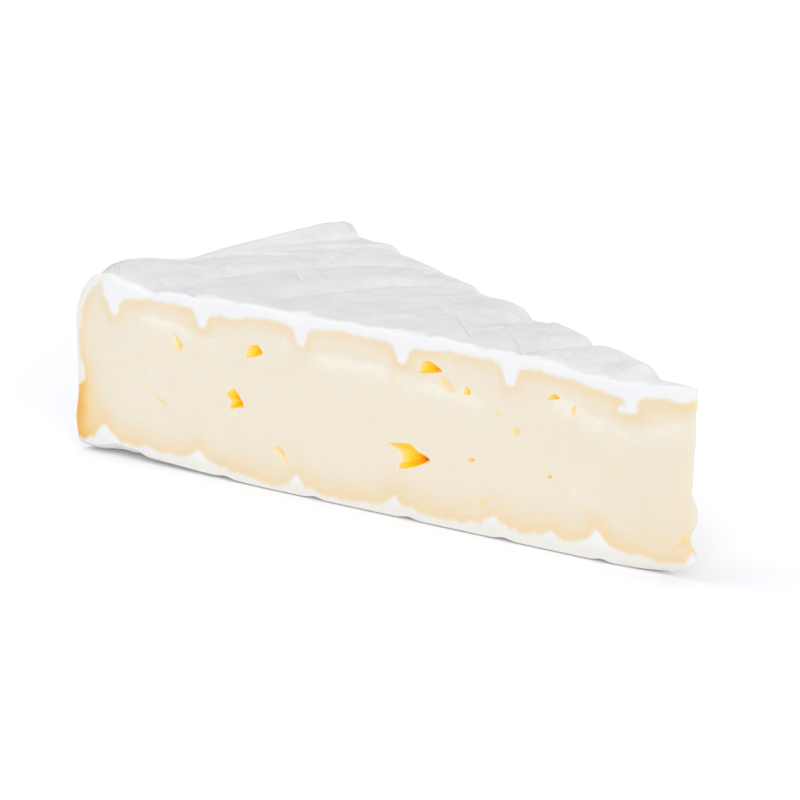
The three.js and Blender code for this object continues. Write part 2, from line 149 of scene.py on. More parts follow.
# Folds of the top rind: from where to where, as distance from the tip and side, how deep the
# groove is, and how high the bank beside it stands on its side towards the tip
FOLDS = [
    ((161.9, -0.47), (154.9, -0.68), 0.22, 0.1), ((157.3, -0.22), (146.8, -0.52), 0.28, 0.12),
    ((137.1, -0.9), (131.9, -0.98), 0.35, 0.05), ((136.4, 0.09), (122.3, -0.2), 0.42, 0.3),
    ((133.7, 0.23), (124.6, 0.11), 0.3, 0.2), ((123.5, 0.05), (113.2, -0.35), 0.28, -0.1),
    ((111.5, -0.26), (101.2, -0.6), 0.3, 0.1), ((113.3, -0.01), (106.1, -0.3), 0.2, 0.12),
    ((106.1, -0.3), (92.1, -0.97), 0.28, 0.12), ((107, 0.1), (101.2, -0.07), 0.4, 0.05),
    ((125.7, 0.6), (116.8, 0.5), 0.38, 0.1), ((116.8, 0.5), (103.7, 0.35), 0.38, 0.1),
    ((102.9, 0.42), (97.5, 0.29), 0.22, 0.05), ((101.8, 0.51), (93.5, 0.33), 0.25, 0.05),
    ((90.5, 0.28), (79.4, 0.01), 0.4, 0.15), ((78.3, 0.11), (69.6, -0.18), 0.45, 0.35),
    ((69.6, -0.18), (61, -0.62), 0.5, 0.3), ((89.3, -0.18), (80.6, -0.28), 0.28, 0.2),
    ((66.4, 0.39), (61, 0.09), 0.35, 0.1), ((61, 0.09), (54.9, -0.14), 0.38, 0.15),
    ((54.9, -0.14), (44.5, -0.76), 0.45, 0.25), ((43.1, -0.13), (29.5, -0.9), 0.3, 0.2),
    ((41.7, 0.08), (31.6, -0.13), 0.26, 0.15), ((38.4, 0.72), (22.8, -0.8), 0.32, 0.12),
    ((32.5, 0.63), (16.2, -0.93), 0.26, 0.12), ((65.4, 0.95), (48.7, 0.22), 0.22, 0.15),
    ((150.5, 0.47), (156.7, 0.59), 0.35, 0.15), ((24.1, 0.68), (17, -0.49), 0.22, 0.1),
    ((148.8, 0.34), (141.3, 0.28), 0.35, 0.1), ((157, 0.05), (148.8, 0.34), 0.35, -0.15),
]
FOLD_HALF_WIDTH = 0.5
FOLD_BANK_AT = 1.6
FOLD_BANK_REACH = 1.5
FOLD_TAPER = (0.3, 0.62)

# Fine wrinkles of the rind, scattered between the folds
WRINKLES = 150
WRINKLE_DEPTH = (0.05, 0.2)
WRINKLE_LENGTH = (4.0, 14.0)
WRINKLE_HALF_WIDTH = (0.5, 1.3)

# The mat's threads left a narrow cut along the bottom of each crease: its depth and half width
THREAD_DEPTH = 0.35
THREAD_HALF_WIDTH = 0.55

# Noise that roughens the surfaces and mottles their colours. A row has a height, the size of its
# lumps, how many times taller than wide they are, and a seed.
TOP_GRAIN = [(0.02, 2.6, 1, 3), (0.012, 1.3, 1, 4)]
RIM_FOLDS = [(0.24, 5, 5, 5), (0.12, 2.2, 3, 6), (0.05, 1.6, 1, 7)]
FACE_WAVES = [(0.1, 26, 1, 8), (0.05, 7, 2, 11), (0.012, 1.6, 1, 14)]
TOP_EDGE_RAGS = [(0.2, 2.6, 1, 23), (0.1, 1, 1, 26)]
UNDER_EDGE_RAGS = [(0.25, 5, 1, 30)]
RIM_EDGE_RAGS = [(0.12, 1.3, 1, 36)]
RIPE_PATCHES = [(0.14, 11, 1, 40), (0.08, 4, 1, 42)]
RIPE_MOTTLE = [(0.03, 3, 1, 49)]
GOLD_REACH_UNEVEN = [(0.6, 9, 1, 44)]
SMEAR_UNEVEN = [(1.3, 3.4, 1, 64), (0.6, 1.4, 1, 65)]

# Creases that wander over the top, as depth, size and seed, and over the rim
TOP_CRUMPLES = [(0.22, 14, 1), (0.1, 6, 2)]
CRUMPLE_LEVEL = 0.4
RIM_CREASE_DEPTH = 0.35
RIM_CREASE_REACH = 0.3
RIM_FOLD_INSET = 0.32

# How far the rind stands out of a cut face, and how far a smear sinks into it
RIND_PROUD = 0.14
SMEAR_DENT = 0.18

# How finely the mesh is divided, in millimetres. The last bay is divided as if it were longer,
# because it is longer at the back. Edges sharper than the last angle aren't shaded smooth.
STATION_SPACING = 0.44
TOP_SPACING = 0.46
RIM_SPACING = 0.6
UNDER_SPACING = 1.4
LAST_BAY_EXTRA = 8
EDGE_RISE_SPACING = 0.42
MIDDLE_RISE_SPACING = 1.25
RIM_BAND = 8.0
EDGE_POINTS = (0.1, 0.26, 0.5, 0.85)
OUTLINE_SPACING = 0.12
SHARP_ANGLE = math.radians(38)

# Where the rind shows on a cut face: heights along the top and underneath, and thickness up the
# rim. Each tooth: how far from the tip, the height of its point, its half widths towards the rim
# and towards the tip, and how far and how wide it flares. Each drop: its place, its half length
# and half height, and its turn in degrees.
FRONT = {
    "top_line": [
        (0, 34.4), (3, 33.4), (9, 33.5), (20, 32.7), (26, 33.2), (31, 33.9), (50, 34.8), (62, 34.7),
        (68, 34.2), (80, 34.3), (91, 34.6), (98, 34.1), (106, 34.3), (115, 33.9), (121, 33.1),
        (126, 33.1), (133, 33.7), (144, 33.9), (149, 33.1), (157, 33.2),
    ],
    "top_teeth": [
        (154, 29.4, 1.4, 1.15, 1.3, 2.4), (129.3, 30, 1.45, 1.45, 0.7, 2.4),
        (101.6, 30.3, 1.55, 1.5, 0.7, 2.2), (74.5, 30.7, 1.45, 1.45, 0.8, 2.2),
        (46.1, 30.3, 1.7, 1.3, 0.9, 2.4), (16, 30.2, 1.1, 1.6, 0.9, 3),
    ],
    "top_drops": [(16.4, 30.1, 2.4, 0.65, -6)],
    "top_end": 157.4,
    "under_line": [
        (0, 3.8), (3, 3), (8, 2.2), (18, 2.6), (30, 2.6), (45, 2.1), (60, 1.6), (75, 1.9), (90, 1.1),
        (112, 1.1), (122, 1.9), (135, 2.2), (150, 2.5), (165, 1.9),
    ],
    "under_teeth": [
        (157.6, 5.8, 1.7, 2.6, 0.4, 5), (130.3, 4.7, 1.6, 1.8, 0.6, 4), (103, 4.1, 1.4, 1.8, 0.5, 4),
        (76.5, 3.9, 1.5, 1.5, 0.5, 4), (50.5, 4.5, 1.6, 1.5, 0.5, 4), (24.3, 5.4, 1.2, 1.6, 0.4, 5),
        (145, 3.4, 1.6, 1.6, 0, 1), (35.5, 3.4, 2, 2.2, 0, 1),
    ],
    "rim_rind": [
        (0, -1), (13, -1), (13.6, 0.5), (14.6, 1.7), (16.2, 2.1), (17.6, 1.5), (18.8, 0.75),
        (24.5, 0.6), (25.8, 1.1), (27.4, 1.5), (28.2, 0.7), (36, 1.3),
    ],
    "rim_gold": 1,
}
BACK = {
    "top_line": [
        (0, 34.4), (6, 33.4), (21, 33.9), (40, 34.9), (49, 34.1), (60, 34.6), (80, 34.3), (88, 34.8),
        (100, 34.2), (108, 34.7), (119, 33.8), (129, 34.5), (136, 33.9), (146, 35), (166, 35.2),
    ],
    "top_teeth": [
        (140.4, 29.9, 1.5, 1.35, 1, 2.6), (115.6, 30.6, 1.4, 1.6, 0.8, 2.2),
        (95.2, 29.8, 1.6, 1.4, 0.9, 2.6), (74.4, 30.8, 1.4, 1.5, 0.8, 2.4),
        (44.2, 30.2, 1.7, 1.5, 0.9, 2.8), (15.6, 30.9, 1.6, 1.8, 0.8, 3),
        (121.4, 32.9, 1.1, 1.3, 0.2, 1), (58.3, 33.1, 1.4, 1.2, 0.2, 1),
    ],
    "top_drops": [(94.9, 29.8, 2.2, 0.6, 5)],
    "top_end": 166,
    "under_line": [
        (0, 3.4), (4, 2.6), (20, 2), (35, 2.6), (52, 1.5), (70, 1.9), (84, 1.3), (102, 2), (118, 1.4),
        (134, 2.1), (150, 2.4), (165, 1.8),
    ],
    "under_teeth": [
        (148.2, 5, 1.7, 2, 0.5, 5), (123, 4.4, 1.6, 1.5, 0.5, 4), (98.2, 4.9, 1.3, 1.8, 0.6, 4),
        (72.6, 3.9, 1.6, 1.4, 0.5, 4), (47.8, 4.6, 1.4, 1.6, 0.5, 4), (22.6, 4.3, 1.6, 1.4, 0.5, 4),
        (84.1, 3.2, 2, 1.4, 0, 1), (135, 3.3, 1.3, 2, 0, 1),
    ],
    "rim_rind": [
        (0, 0.6), (6, 0.5), (7.4, 1.5), (9.6, 1.4), (10.8, 0.5), (22, 0.5), (23.6, 1.6), (25.4, 1.2),
        (27, 0.6), (36, 1), (42, 1.4),
    ],
    "rim_gold": 0.75,
}
FACES = {-1: FRONT, 1: BACK}

# How square the teeth are, how the edges end at the rim and at the tip, and the scallops of the
# under edge, as height, level and size
TOOTH_POWER = 5.0
UNDER_TOOTH_POWER = 2.2
FLARE_START = 0.8
TOP_END_RISE = 6
TOP_END_REACH = 0.9
SCALLOPS = (0.7, 0.35, 2.6)
UNDER_TIP_RISE = 1.6
UNDER_TIP_REACH = 2.4

# Eyes, the torn holes in the paste. An outline goes round each one, as distance from the tip and
# height. The deepest point lies behind the edge that the knife left sharp.
EYES = {
    -1: [
        ([(117.1, 25.8), (116.1, 28), (113.4, 28.6), (112.2, 27.1), (113.2, 26.4), (116.1, 25.5)],
         (113.3, 27.2), 2),
        ([(122.6, 17.3), (121.4, 18.5), (120, 18.9), (118.9, 17.7), (117.8, 16.4), (117.5, 15.4),
         (119.6, 15.1), (121.8, 14.3), (121, 16.2)], (118.7, 16.4), 2.8),
        ([(78, 14.4), (75, 14.9), (72.3, 15.1), (70.4, 14), (68, 13.3), (66.9, 12.6), (68.1, 12),
         (70.2, 11), (73, 10.1), (75.8, 9.7), (74.4, 11.4), (74.7, 12.8), (76.2, 13.6)], (68.9, 12.6),
         3.1),
        ([(69.9, 29.2), (69, 31.7), (67, 31.9), (65.4, 31.4), (63.8, 30.4), (65.4, 29.9), (67.5, 29.5)],
         (65.2, 30.8), 2.4),
        ([(65.6, 29.3), (63.2, 29.7), (61.5, 28.6), (60.2, 26.8), (62, 26.5), (63.9, 27.1), (64.6, 28.4)],
         (63, 28.6), 0.24),
        ([(143.1, 13.8), (142.1, 14.2), (140.8, 13.6), (138.9, 13.2), (138.8, 12.8), (140.3, 12.8),
         (142.2, 13.3)], (141, 13.4), 0.2),
        ([(58.6, 26.9), (57.9, 28.4), (57, 28.3), (56.3, 27.5), (56.8, 26.7)], (57, 27.4), 1),
        ([(37.1, 28.9), (36.3, 29.8), (34.8, 30.3), (33.5, 29.7), (35, 29.1)], (34.5, 29.7), 1),
        ([(37, 14.2), (36.2, 14.7), (35.3, 14.3), (36.1, 13.8)], (36, 14.2), 0.7),
        ([(57.6, 14.2), (56.5, 14.9), (55.1, 14.6), (56.2, 13.8)], (56.1, 14.4), 0.7),
        ([(137.3, 27.6), (136.3, 27.5), (135.8, 26.4), (134.7, 25.6), (134.8, 24.7), (135.5, 24.1),
         (136.9, 24.5), (137, 25.9)], (135.3, 25.2), 0.55),
        ([(109.9, 8.5), (108.6, 9.3), (107.2, 8.9), (106.3, 8.1), (106.1, 7.2), (104.6, 5.2),
         (105.6, 5.4), (106.9, 6.5), (108.4, 7.6)], (107, 7.9), 0.4),
    ],
    1: [
        ([(134.2, 20.6), (132.4, 23.6), (129.8, 23.9), (128.6, 22.2), (130.4, 21.2), (132.6, 20.1)],
         (130.2, 22.4), 2.1),
        ([(101.2, 9), (99.4, 12.2), (96.2, 13.2), (93.2, 12), (94.6, 10.2), (97, 8.6), (99.6, 8)],
         (95.6, 11.2), 2.8),
        ([(90.4, 25.6), (89, 27.8), (86.9, 27.6), (87.4, 25.8), (89, 25)], (88, 26.7), 1.5),
        ([(62.8, 17.8), (60.6, 19.6), (57.6, 19.4), (58.6, 18.2), (61, 17.2)], (59, 18.6), 1.8),
        ([(42.3, 25.2), (41, 26.5), (39.7, 25.7), (40.8, 24.6)], (40.8, 25.6), 1.4),
        ([(113.4, 29.3), (112, 30.2), (110.6, 29.5), (112, 28.7)], (111.8, 29.5), 1.4),
        ([(75.3, 6.9), (74.2, 7.8), (73, 7.2), (74, 6.4)], (74, 7.1), 1.2),
    ],
}
# Ridges that stand inside an eye: from where to where, and reach
EYE_RIDGES = {-1: [((75.8, 13.3), (68.9, 13.4), 0.75)], 1: [((98.6, 10.4), (94.8, 11.0), 0.8)]}
EYE_RIDGE_HEIGHT = 0.6
EYE_SOFTNESS = 0.45
EYE_RINGS = 7
EYE_POINTS = 34
EYE_UNEVEN = 0.1
EYE_WALL_POWER = 1.3
EYE_FLOOR_POWER = 0.95
# The cutter of an eye starts a little outside the face, and a little wider than its mouth
EYE_MOUTH_RISE = 0.9
EYE_MOUTH_SPREAD = 1.08

# Smears, where the knife dragged an eye shut: place, size along the face and upwards, turn in
# degrees, and strength
SMEARS = {
    -1: [
        (48.8, 23.8, 1.5, 0.35, 10, 0.8), (44.6, 21.6, 1, 0.5, 24, 0.75), (45.2, 23.6, 0.7, 0.4, 0, 0.5),
        (30, 28, 0.55, 1, 15, 0.6), (53, 6.9, 1, 0.4, 0, 0.6), (49.5, 21.2, 0.4, 0.35, 0, 0.4),
        (34.5, 8.5, 0.45, 0.3, 0, 0.45), (31.5, 8.9, 0.4, 0.3, 0, 0.4), (145, 11.2, 0.4, 0.4, 0, 0.4),
        (8, 2.2, 0.5, 0.3, 0, 0.4), (1.9, 13.6, 0.25, 0.8, 0, 0.3), (146.4, 11.4, 0.4, 0.3, 0, 0.35),
    ],
    1: [
        (120, 16.4, 1.6, 0.6, 12, 0.55), (104, 24.8, 0.9, 1.8, -14, 0.6),
        (82.2, 14.6, 1.4, 0.5, -6, 0.45), (52.6, 10.2, 1.3, 0.6, 20, 0.5), (143.8, 13, 0.9, 0.5, 0, 0.5),
        (31, 17.6, 1, 0.4, 8, 0.4), (68, 27, 0.5, 0.4, 0, 0.45), (90.6, 7.6, 0.6, 0.4, 0, 0.4),
    ],
}

# Pale arcs in the paste below the gold: the line that each follows, its reach and its strength
PALE_STREAKS = {
    -1: [
        ([(145, 30), (138, 29.4), (131, 28), (126, 27.4)], 0.55, 0.28),
        ([(106, 30.4), (98, 28.6), (88, 28.6), (80, 28.9)], 0.7, 0.26),
        ([(75, 28), (68, 27.3), (61, 26.6), (55, 26.4)], 0.6, 0.27),
        ([(33, 29.6), (26, 27.2), (18, 26.3), (9, 27.2), (3, 29.6)], 0.8, 0.28),
        ([(30, 12.8), (22, 10.2), (13, 5.9), (9, 5.4)], 0.6, 0.16),
    ],
    1: [
        ([(134, 29.4), (127, 28.2), (119, 28.4)], 0.6, 0.2),
        ([(110, 29.6), (103, 28), (98, 26.6)], 0.7, 0.22),
        ([(68, 29.6), (59, 28.4), (49, 28.8)], 0.6, 0.2),
        ([(38, 28.6), (29, 27.4), (20, 28.2)], 0.7, 0.22),
    ],
}

# The crevice beside the foot of the tip, where the paste was pushed over
CREVICE = [(6.8, 4.8), (5.2, 5.7), (3.4, 6.8), (1.6, 8.5)]
CREVICE_DEPTH = 0.4
CREVICE_REACH = 0.25
CREVICE_REACH_AT_TIP = 0.8
CREVICE_SMEAR = 0.36

# Where the rind lies thin over the paste of a cut face, along the rim and in the corner that the
# rim makes with the top: its strength, the heights between which it comes, and its reach
RIM_VEIL = (1, (27.5, 31.5), 1.3)
CORNER_VEIL = (0.85, (30.5, 34.5), 3)

# Gold beside the rind: how deep it starts, its strength and how much stronger it is low down, its
# reach under the top, its reach above the underside near the tip and farther out, and the
# distances and heights between which the one reach gives way to the other
GOLD_START = 0.6
GOLD = 0.36
GOLD_MORE_LOW = 0.1
GOLD_REACH_TOP = 2.1
GOLD_REACH_LOW = (4.0, 3.2)
GOLD_REACH_OUT = (40, 120)
GOLD_LOW_HEIGHTS = (8, 16)
GOLD_AT_RIND = (0.2, 0, 0.9)

# Gold in from the rim, each value high up and low down: strength and reach, and the same for a
# wider glow. Then gold at the foot of the rim, as a swell by inset and one by height, and at the
# tip, with the distances between which it fades.
GOLD_RIM_HEIGHTS = (8, 26)
RIM_GOLD = (0.05, 0.75)
RIM_GOLD_REACH = (1.6, 3.6)
RIM_GLOW = (0.06, 0.5)
RIM_GLOW_REACH = 7
FOOT_GOLD = (0.35, 0, 6)
FOOT_GOLD_UP = (1, 2, 6)
TIP_GOLD = 0.12
TIP_GOLD_OUT = (6, 45)

# How white the knife left the rind: along the front and the back cut, and how wide that is
# between the creases and beside their ends, and towards the tip. On the lip, as a swell by
# inset, the rind is painted whiter as painted light, where the lip's inner face is lit
EDGE_WHITE = (0.85, 0.3)
EDGE_WHITE_WIDTH = (0.4, 1.4)
TIP_WHITE = 0.4
TIP_WHITE_OUT = (22, 50)
LIP_PAINTED_LIGHT = (0.45, 1.5, 2.5)

# How tan the rubbed rind is: on the front shoulder, as a swell by side and one by inset, on the
# crest of the lip and in the streaks beside it, as swells by inset, on the rim, and underneath
SHOULDER_TAN = (0.9, -0.85, 0.14)
SHOULDER_TAN_INSET = (1, 3.2, 0.9)
CREST_TAN = (0.5, -1.5, 1.4)
STREAK_TAN = (0.3, 0, 2.4)
RIM_TAN = 0.45
UNDER_TAN = 0.4

SEED = 20


# Small tools for arrays


def clamp(value, low=0.0, high=1.0):
    return np.clip(value, low, high)


def mix(a, b, t):
    return a + (b - a) * t


def smoothstep(value, low, high):
    t = clamp((value - low) / (high - low))
    return t * t * (3 - 2 * t)


def bell(distance, reach):
    return np.exp(-((distance / reach) ** 2))


def swell(shape, at):
    """A rounded swell, given by its height, the place of its middle, and its reach."""
    height, middle, reach = shape
    return height * bell(at - middle, reach)


def quarter_round(t):
    return 1 - np.sqrt(1 - t ** 2)


def noise(x, y, cell, seed):
    """A smooth random field from -1 to 1 whose lumps are about cell millimetres wide."""
    lattice = np.random.default_rng(SEED + seed).uniform(-1, 1, (256, 256))
    gx, gy = np.asarray(x) / cell + 40.3, np.asarray(y) / cell + 71.9
    ix, iy = np.floor(gx).astype(int), np.floor(gy).astype(int)
    tx, ty = smoothstep(gx - ix, 0, 1), smoothstep(gy - iy, 0, 1)
    near = mix(lattice[ix % 256, iy % 256], lattice[(ix + 1) % 256, iy % 256], tx)
    far = mix(lattice[ix % 256, (iy + 1) % 256], lattice[(ix + 1) % 256, (iy + 1) % 256], tx)
    return mix(near, far, ty)


def layers(x, y, rows, shift=0):
    """Noise of several sizes, added up."""
    return sum(height * noise(x, y / tall, cell, seed + shift) for height, cell, tall, seed in rows)


def turned(a, b, degrees):
    """The same place in axes that are turned by an angle."""
    c, s = math.cos(math.radians(degrees)), math.sin(math.radians(degrees))
    return a * c + b * s, b * c - a * s


def along_segment(x, y, start, end):
    """Where a point lies beside a segment: 0 to 1 along it, and its signed distance from it."""
    dx, dy = end[0] - start[0], end[1] - start[1]
    length = math.hypot(dx, dy)
    px, py = x - start[0], y - start[1]
    t = (px * dx + py * dy) / length ** 2
    across = (px * dy - py * dx) / length
    past = np.maximum(np.maximum(-t, t - 1), 0) * length
    return t, np.sign(across) * np.hypot(across, past)


# Shape of the wheel


def backness(side):
    """From 0 on the front cut face to 1 on the back one."""
    return (side + 1) / 2


def pad_relief(bay, side):
    """The pads between creases: steep beside each crease, nearly flat in their middle."""
    line = np.minimum(np.floor(bay), RIM_BAY - 1).astype(int)
    across = bay - line
    at_edge = 1 - swell(PAD_FLATTENING, side)
    crown = mix(*PAD_CROWN, backness(side)) * at_edge
    near, far = crease_depth(line, side) * at_edge, crease_depth(line + 1, side) * at_edge
    rise_end = mix(*PAD_RISE, smoothstep(side, 0, 1))
    fall_start = mix(*PAD_FALL, smoothstep(side, 0, 1))
    rising = np.sin(math.pi / 2 * clamp(across / rise_end))
    falling = np.sin(math.pi / 2 * clamp((1 - across) / (1 - fall_start)))
    crown = crown * (1 - smoothstep(bay, RIM_BAY - CROWN_FADE, RIM_BAY))
    pad = crown - near * (1 - rising) - far * (1 - falling)
    return np.where(line == 0, (crown - far) * smoothstep(across, 0, 1), pad)


def crease_depth(line, side):
    return mix(*CREASE_ROWS[3:, line], backness(side))


def lip_strength(side):
    return clamp((side - LIP_SIDES[0]) / (LIP_SIDES[1] - LIP_SIDES[0]))


def lip_relief(inset, side):
    """The lip along the rim is highest at the back corner, where the wheel's edge curled up."""
    strength = lip_strength(side)
    end = clamp((side - LIP_END) / (1 - LIP_END))
    height = LIP_HEIGHT * strength - LIP_END_DROP * quarter_round(end)
    foot = LIP_THICKNESS + LIP_SLOPE * mix(2, 1, strength)
    return height * (1 - smoothstep(inset, LIP_THICKNESS, foot))


def top_height(bay, side, out):
    inset = WHEEL_RADIUS - out
    at_front = 1 - backness(side)
    swells = (swell(BELLY, out) + swell(FRONT_SAG, out) + swell(TIP_DIP, out) - FRONT_SETTLE) * at_front
    swells += swell(FRONT_NOTCH, out) * bell(side + 1, FRONT_NOTCH_REACH) + swell(TIP_PEAK, out)
    swells += sum(swell(shape, out) for shape in BACK_SWELLS) * smoothstep(side, *BACK_SWELL_SIDES)
    corner = CORNER_SWELL * (1 - smoothstep(side, *CORNER_SWELL_SIDES)) + swell(RIM_DIP, side)
    corner *= 1 - smoothstep(inset, *CORNER_SWELL_INSETS)
    lip = lip_relief(rim_radius(side, 1.0) - out, side)
    return HEIGHT + EDGE_DROP + pad_relief(bay, side) + swells + corner + lip - edge_drop(side, out)


def crease_dip(out, face):
    """From 0 between the creases to 1 where one of them meets a cut face."""
    strength = np.zeros_like(out)
    for crease in TOP_CREASES:
        away = out - crease[0 if face < 0 else 1]
        strength = np.maximum(strength, bell(away, np.where(away > 0, DIP_RIMWARD, DIP_TIPWARD)))
    return strength


def fillet(distance, reach):
    """1 at the edge, falling to 0 at its reach."""
    return quarter_round(clamp(1 - distance / reach))


def edge_drop(side, out):
    """The rind rounds over towards each cut face, more here and less there."""
    near_rim = smoothstep(WHEEL_RADIUS - out, *CORNER_SWELL_INSETS)
    drop = np.zeros_like(out)
    for face in (-1, 1):
        distance = out * HALF_ANGLE * (1 - face * side)
        dip = crease_dip(out, face)
        depth = EDGE_DROP * (1 + EDGE_DROP_UNEVEN * noise(out, 0, 5.5, 60 + face))
        reach = mix(EDGE_REACH, EDGE_REACH_AT_CREASE, dip)
        reach = reach * (1 + EDGE_REACH_UNEVEN * noise(out, 0, 4, 62 + face)) + swell(EDGE_REACH_AT_TIP, out)
        drop = np.maximum(drop, (depth + EDGE_DROP_AT_CREASE * dip) * fillet(distance, reach))
    return drop * near_rim


def under_height(bay, side, out):
    line = clamp(np.round(bay), 1, RIM_BAY - 1)
    crease = UNDER_CREASE_DEPTH * (1 - smoothstep(np.abs(bay - line), 0, UNDER_CREASE_REACH))
    crease *= 1 - 0.5 * np.abs(side) ** 8
    tip = TIP_LIFT * (1 - smoothstep(out, 0, TIP_LIFT_REACH))
    rim = RIM_LIFT * smoothstep(out, WHEEL_RADIUS - RIM_LIFT_REACH, WHEEL_RADIUS)
    from_cut = out * HALF_ANGLE * (1 - np.abs(side))
    ends = rim + swell(FOOT_FOLD, out) + swell(FOOT_DIP, out)
    ends *= mix(END_LIFT_INSIDE, 1, fillet(from_cut, END_LIFT_REACH))
    return crease + tip + ends + CUT_FOOT_LIFT * fillet(from_cut, CUT_FOOT_REACH)


def rim_radius(side, rise):
    up = rise * HEIGHT
    at_front = 1 - smoothstep(side, *FRONT_CORNER_SIDES)
    shoulder = mix(SHOULDER_BACK, SHOULDER_FRONT, at_front)
    height = mix(SHOULDER_BACK, SHOULDER_FRONT_HEIGHT, at_front)
    over_shoulder = clamp((up - HEIGHT + height) / height)
    foot = mix(FOOT_RADIUS, FOOT_RADIUS_FRONT, at_front)
    under_foot = clamp((foot - up) / foot)
    cuts = shoulder * quarter_round(over_shoulder) + foot * quarter_round(under_foot)
    wave = RIM_WAVE * np.sin(np.pi * side) ** 2 * np.sin(np.pi * rise)
    flare = RIM_FLARE * lip_strength(side) ** 2 * smoothstep(rise, RIM_FLARE_FROM, 1)
    bulge = (swell(FRONT_BULGE, rise) + swell(FOOT_BULGE, up)) * at_front
    return WHEEL_RADIUS + flare + bulge - wave - cuts


def tip_inset(rise):
    heights, insets = np.array(TIP_PROFILE).T
    return np.interp(rise * HEIGHT, heights, insets)


def line_plan(line, side, rise):
    """Points of the tip edge, of crease lines and of the rim, seen from above."""
    angle = side * HALF_ANGLE
    front, back, bow = CREASE_ROWS[:3, line]
    top_crease = mix(front, back, backness(side)) + bow * (1 - np.abs(side) ** CREASE_SQUARENESS)
    top_crease = np.minimum(top_crease, rim_radius(side, 1.0) - CREASE_RIM_GAP)
    under_crease = UNDER_CREASE_START + UNDER_CREASE_PITCH * (line - 1)
    out = np.where(line == RIM_BAY, rim_radius(side, rise), mix(under_crease, top_crease, rise))
    at_tip = line == 0
    x = np.where(at_tip, TIP_X - tip_inset(rise), TIP_X - out * np.cos(angle))
    return x, TIP_Y + np.where(at_tip, 0, out * np.sin(angle))


def wedge_points(bay, side, rise):
    line = np.minimum(np.floor(bay), RIM_BAY - 1).astype(int)
    near, far = line_plan(line, side, rise), line_plan(line + 1, side, rise)
    x, y = mix(near[0], far[0], bay - line), mix(near[1], far[1], bay - line)
    out = np.hypot(TIP_X - x, y - TIP_Y)
    up = mix(under_height(bay, side, out), top_height(bay, side, out), rise)
    return np.stack([x, y, up], -1)


# Fine relief of the skin and of the cut faces


def plan_point(place):
    out, side = place
    angle = side * HALF_ANGLE
    return TIP_X - out * math.cos(angle), TIP_Y + out * math.sin(angle)


def groove(x, y, start, end, depth, bank, half_width=FOLD_HALF_WIDTH):
    """A fold of the rind: a groove with a bank beside it."""
    t, distance = along_segment(x, y, plan_point(start), plan_point(end))
    taper = 1 - smoothstep(np.abs(t - 0.5), *FOLD_TAPER)
    shape = -depth * bell(distance, half_width)
    shape += bank * bell(distance - FOLD_BANK_AT, FOLD_BANK_REACH) * (distance > -2)
    return shape * taper


def scattered_wrinkles():
    """Short faint folds all over the top, mostly lying across the creases."""
    draw = np.random.default_rng(SEED)
    for _ in range(WRINKLES):
        out = WHEEL_RADIUS * math.sqrt(draw.uniform(0.02, 0.93))
        side, turn = draw.uniform(-0.95, 0.95), draw.normal(0.5, 0.6)
        length, depth = draw.uniform(*WRINKLE_LENGTH), draw.uniform(*WRINKLE_DEPTH)
        step_out, step_side = length * math.cos(turn), length * math.sin(turn) / (out * HALF_ANGLE)
        end = (min(out + step_out, WHEEL_RADIUS - 4), side + step_side)
        yield (out, side), end, depth, draw.uniform(-0.3, 0.8) * depth, draw.uniform(*WRINKLE_HALF_WIDTH)


def top_relief(x, y):
    relief = np.zeros_like(x)
    for fold in [*FOLDS, *scattered_wrinkles()]:
        relief += groove(x, y, *fold)
    for depth, cell, seed in TOP_CRUMPLES:
        relief += depth * (CRUMPLE_LEVEL - np.abs(noise(x, y, cell, seed)))
    return relief + layers(x, y, TOP_GRAIN)


def thread_relief(bay, side):
    """The narrow cut along the bottom of each crease, deeper here and shallower there."""
    line = clamp(np.round(bay), 1, RIM_BAY - 1)
    length = WHEEL_RADIUS / RIM_BAY * (1 + 0.15 * side)
    strength = smoothstep(noise(line * 9, side, 0.22, 65), -0.7, 0.6)
    return -THREAD_DEPTH * strength * bell(np.abs(bay - line) * length, THREAD_HALF_WIDTH)


def rim_relief(along, up):
    """The side of the wheel: upright folds, creases that wander across it, and small pits."""
    creases = np.minimum(np.abs(noise(along / 2, up, 6, 15)), RIM_CREASE_REACH) - RIM_CREASE_REACH
    return layers(along, up, RIM_FOLDS) + RIM_CREASE_DEPTH * creases - RIM_FOLD_INSET


def face_relief(out, up, face):
    """A cut face is nearly flat: slow waves from the knife, and the rind a little proud."""
    relief = layers(out, up, FACE_WAVES, face)
    relief += RIND_PROUD * smoothstep(skin_depth(out, up, face), -0.3, 0.5)
    relief -= SMEAR_DENT * clamp(smear_strength(out, up, face))
    if face < 0:
        relief -= CREVICE_DEPTH * crevice_strength(out, up)
    return relief * smoothstep(out, 0.5, 5)


# Where the rind ends on a cut face


def teeth(out, rows, line, power):
    """The height of the rind's edge: a line with teeth that hang or stand from it."""
    edge = np.interp(out, *zip(*line))
    for place, point, rimward, tipward, flare, reach in rows:
        away = out - place
        width = np.where(away > 0, rimward, tipward)
        stretch = point - np.interp(place, *zip(*line))
        flare *= np.sign(stretch)
        edge += flare * np.exp(-np.maximum(np.abs(away) - FLARE_START * width, 0) / reach)
        edge += (stretch - flare) / (1 + np.abs(away / width) ** power)
    return edge


def top_edge(out, face):
    rows = FACES[face]
    edge = teeth(out, rows["top_teeth"], rows["top_line"], TOOTH_POWER)
    edge += layers(out, 0, TOP_EDGE_RAGS, face)
    end = rows["top_end"]
    return edge + TOP_END_RISE * smoothstep(out, end - TOP_END_REACH, end + TOP_END_REACH)


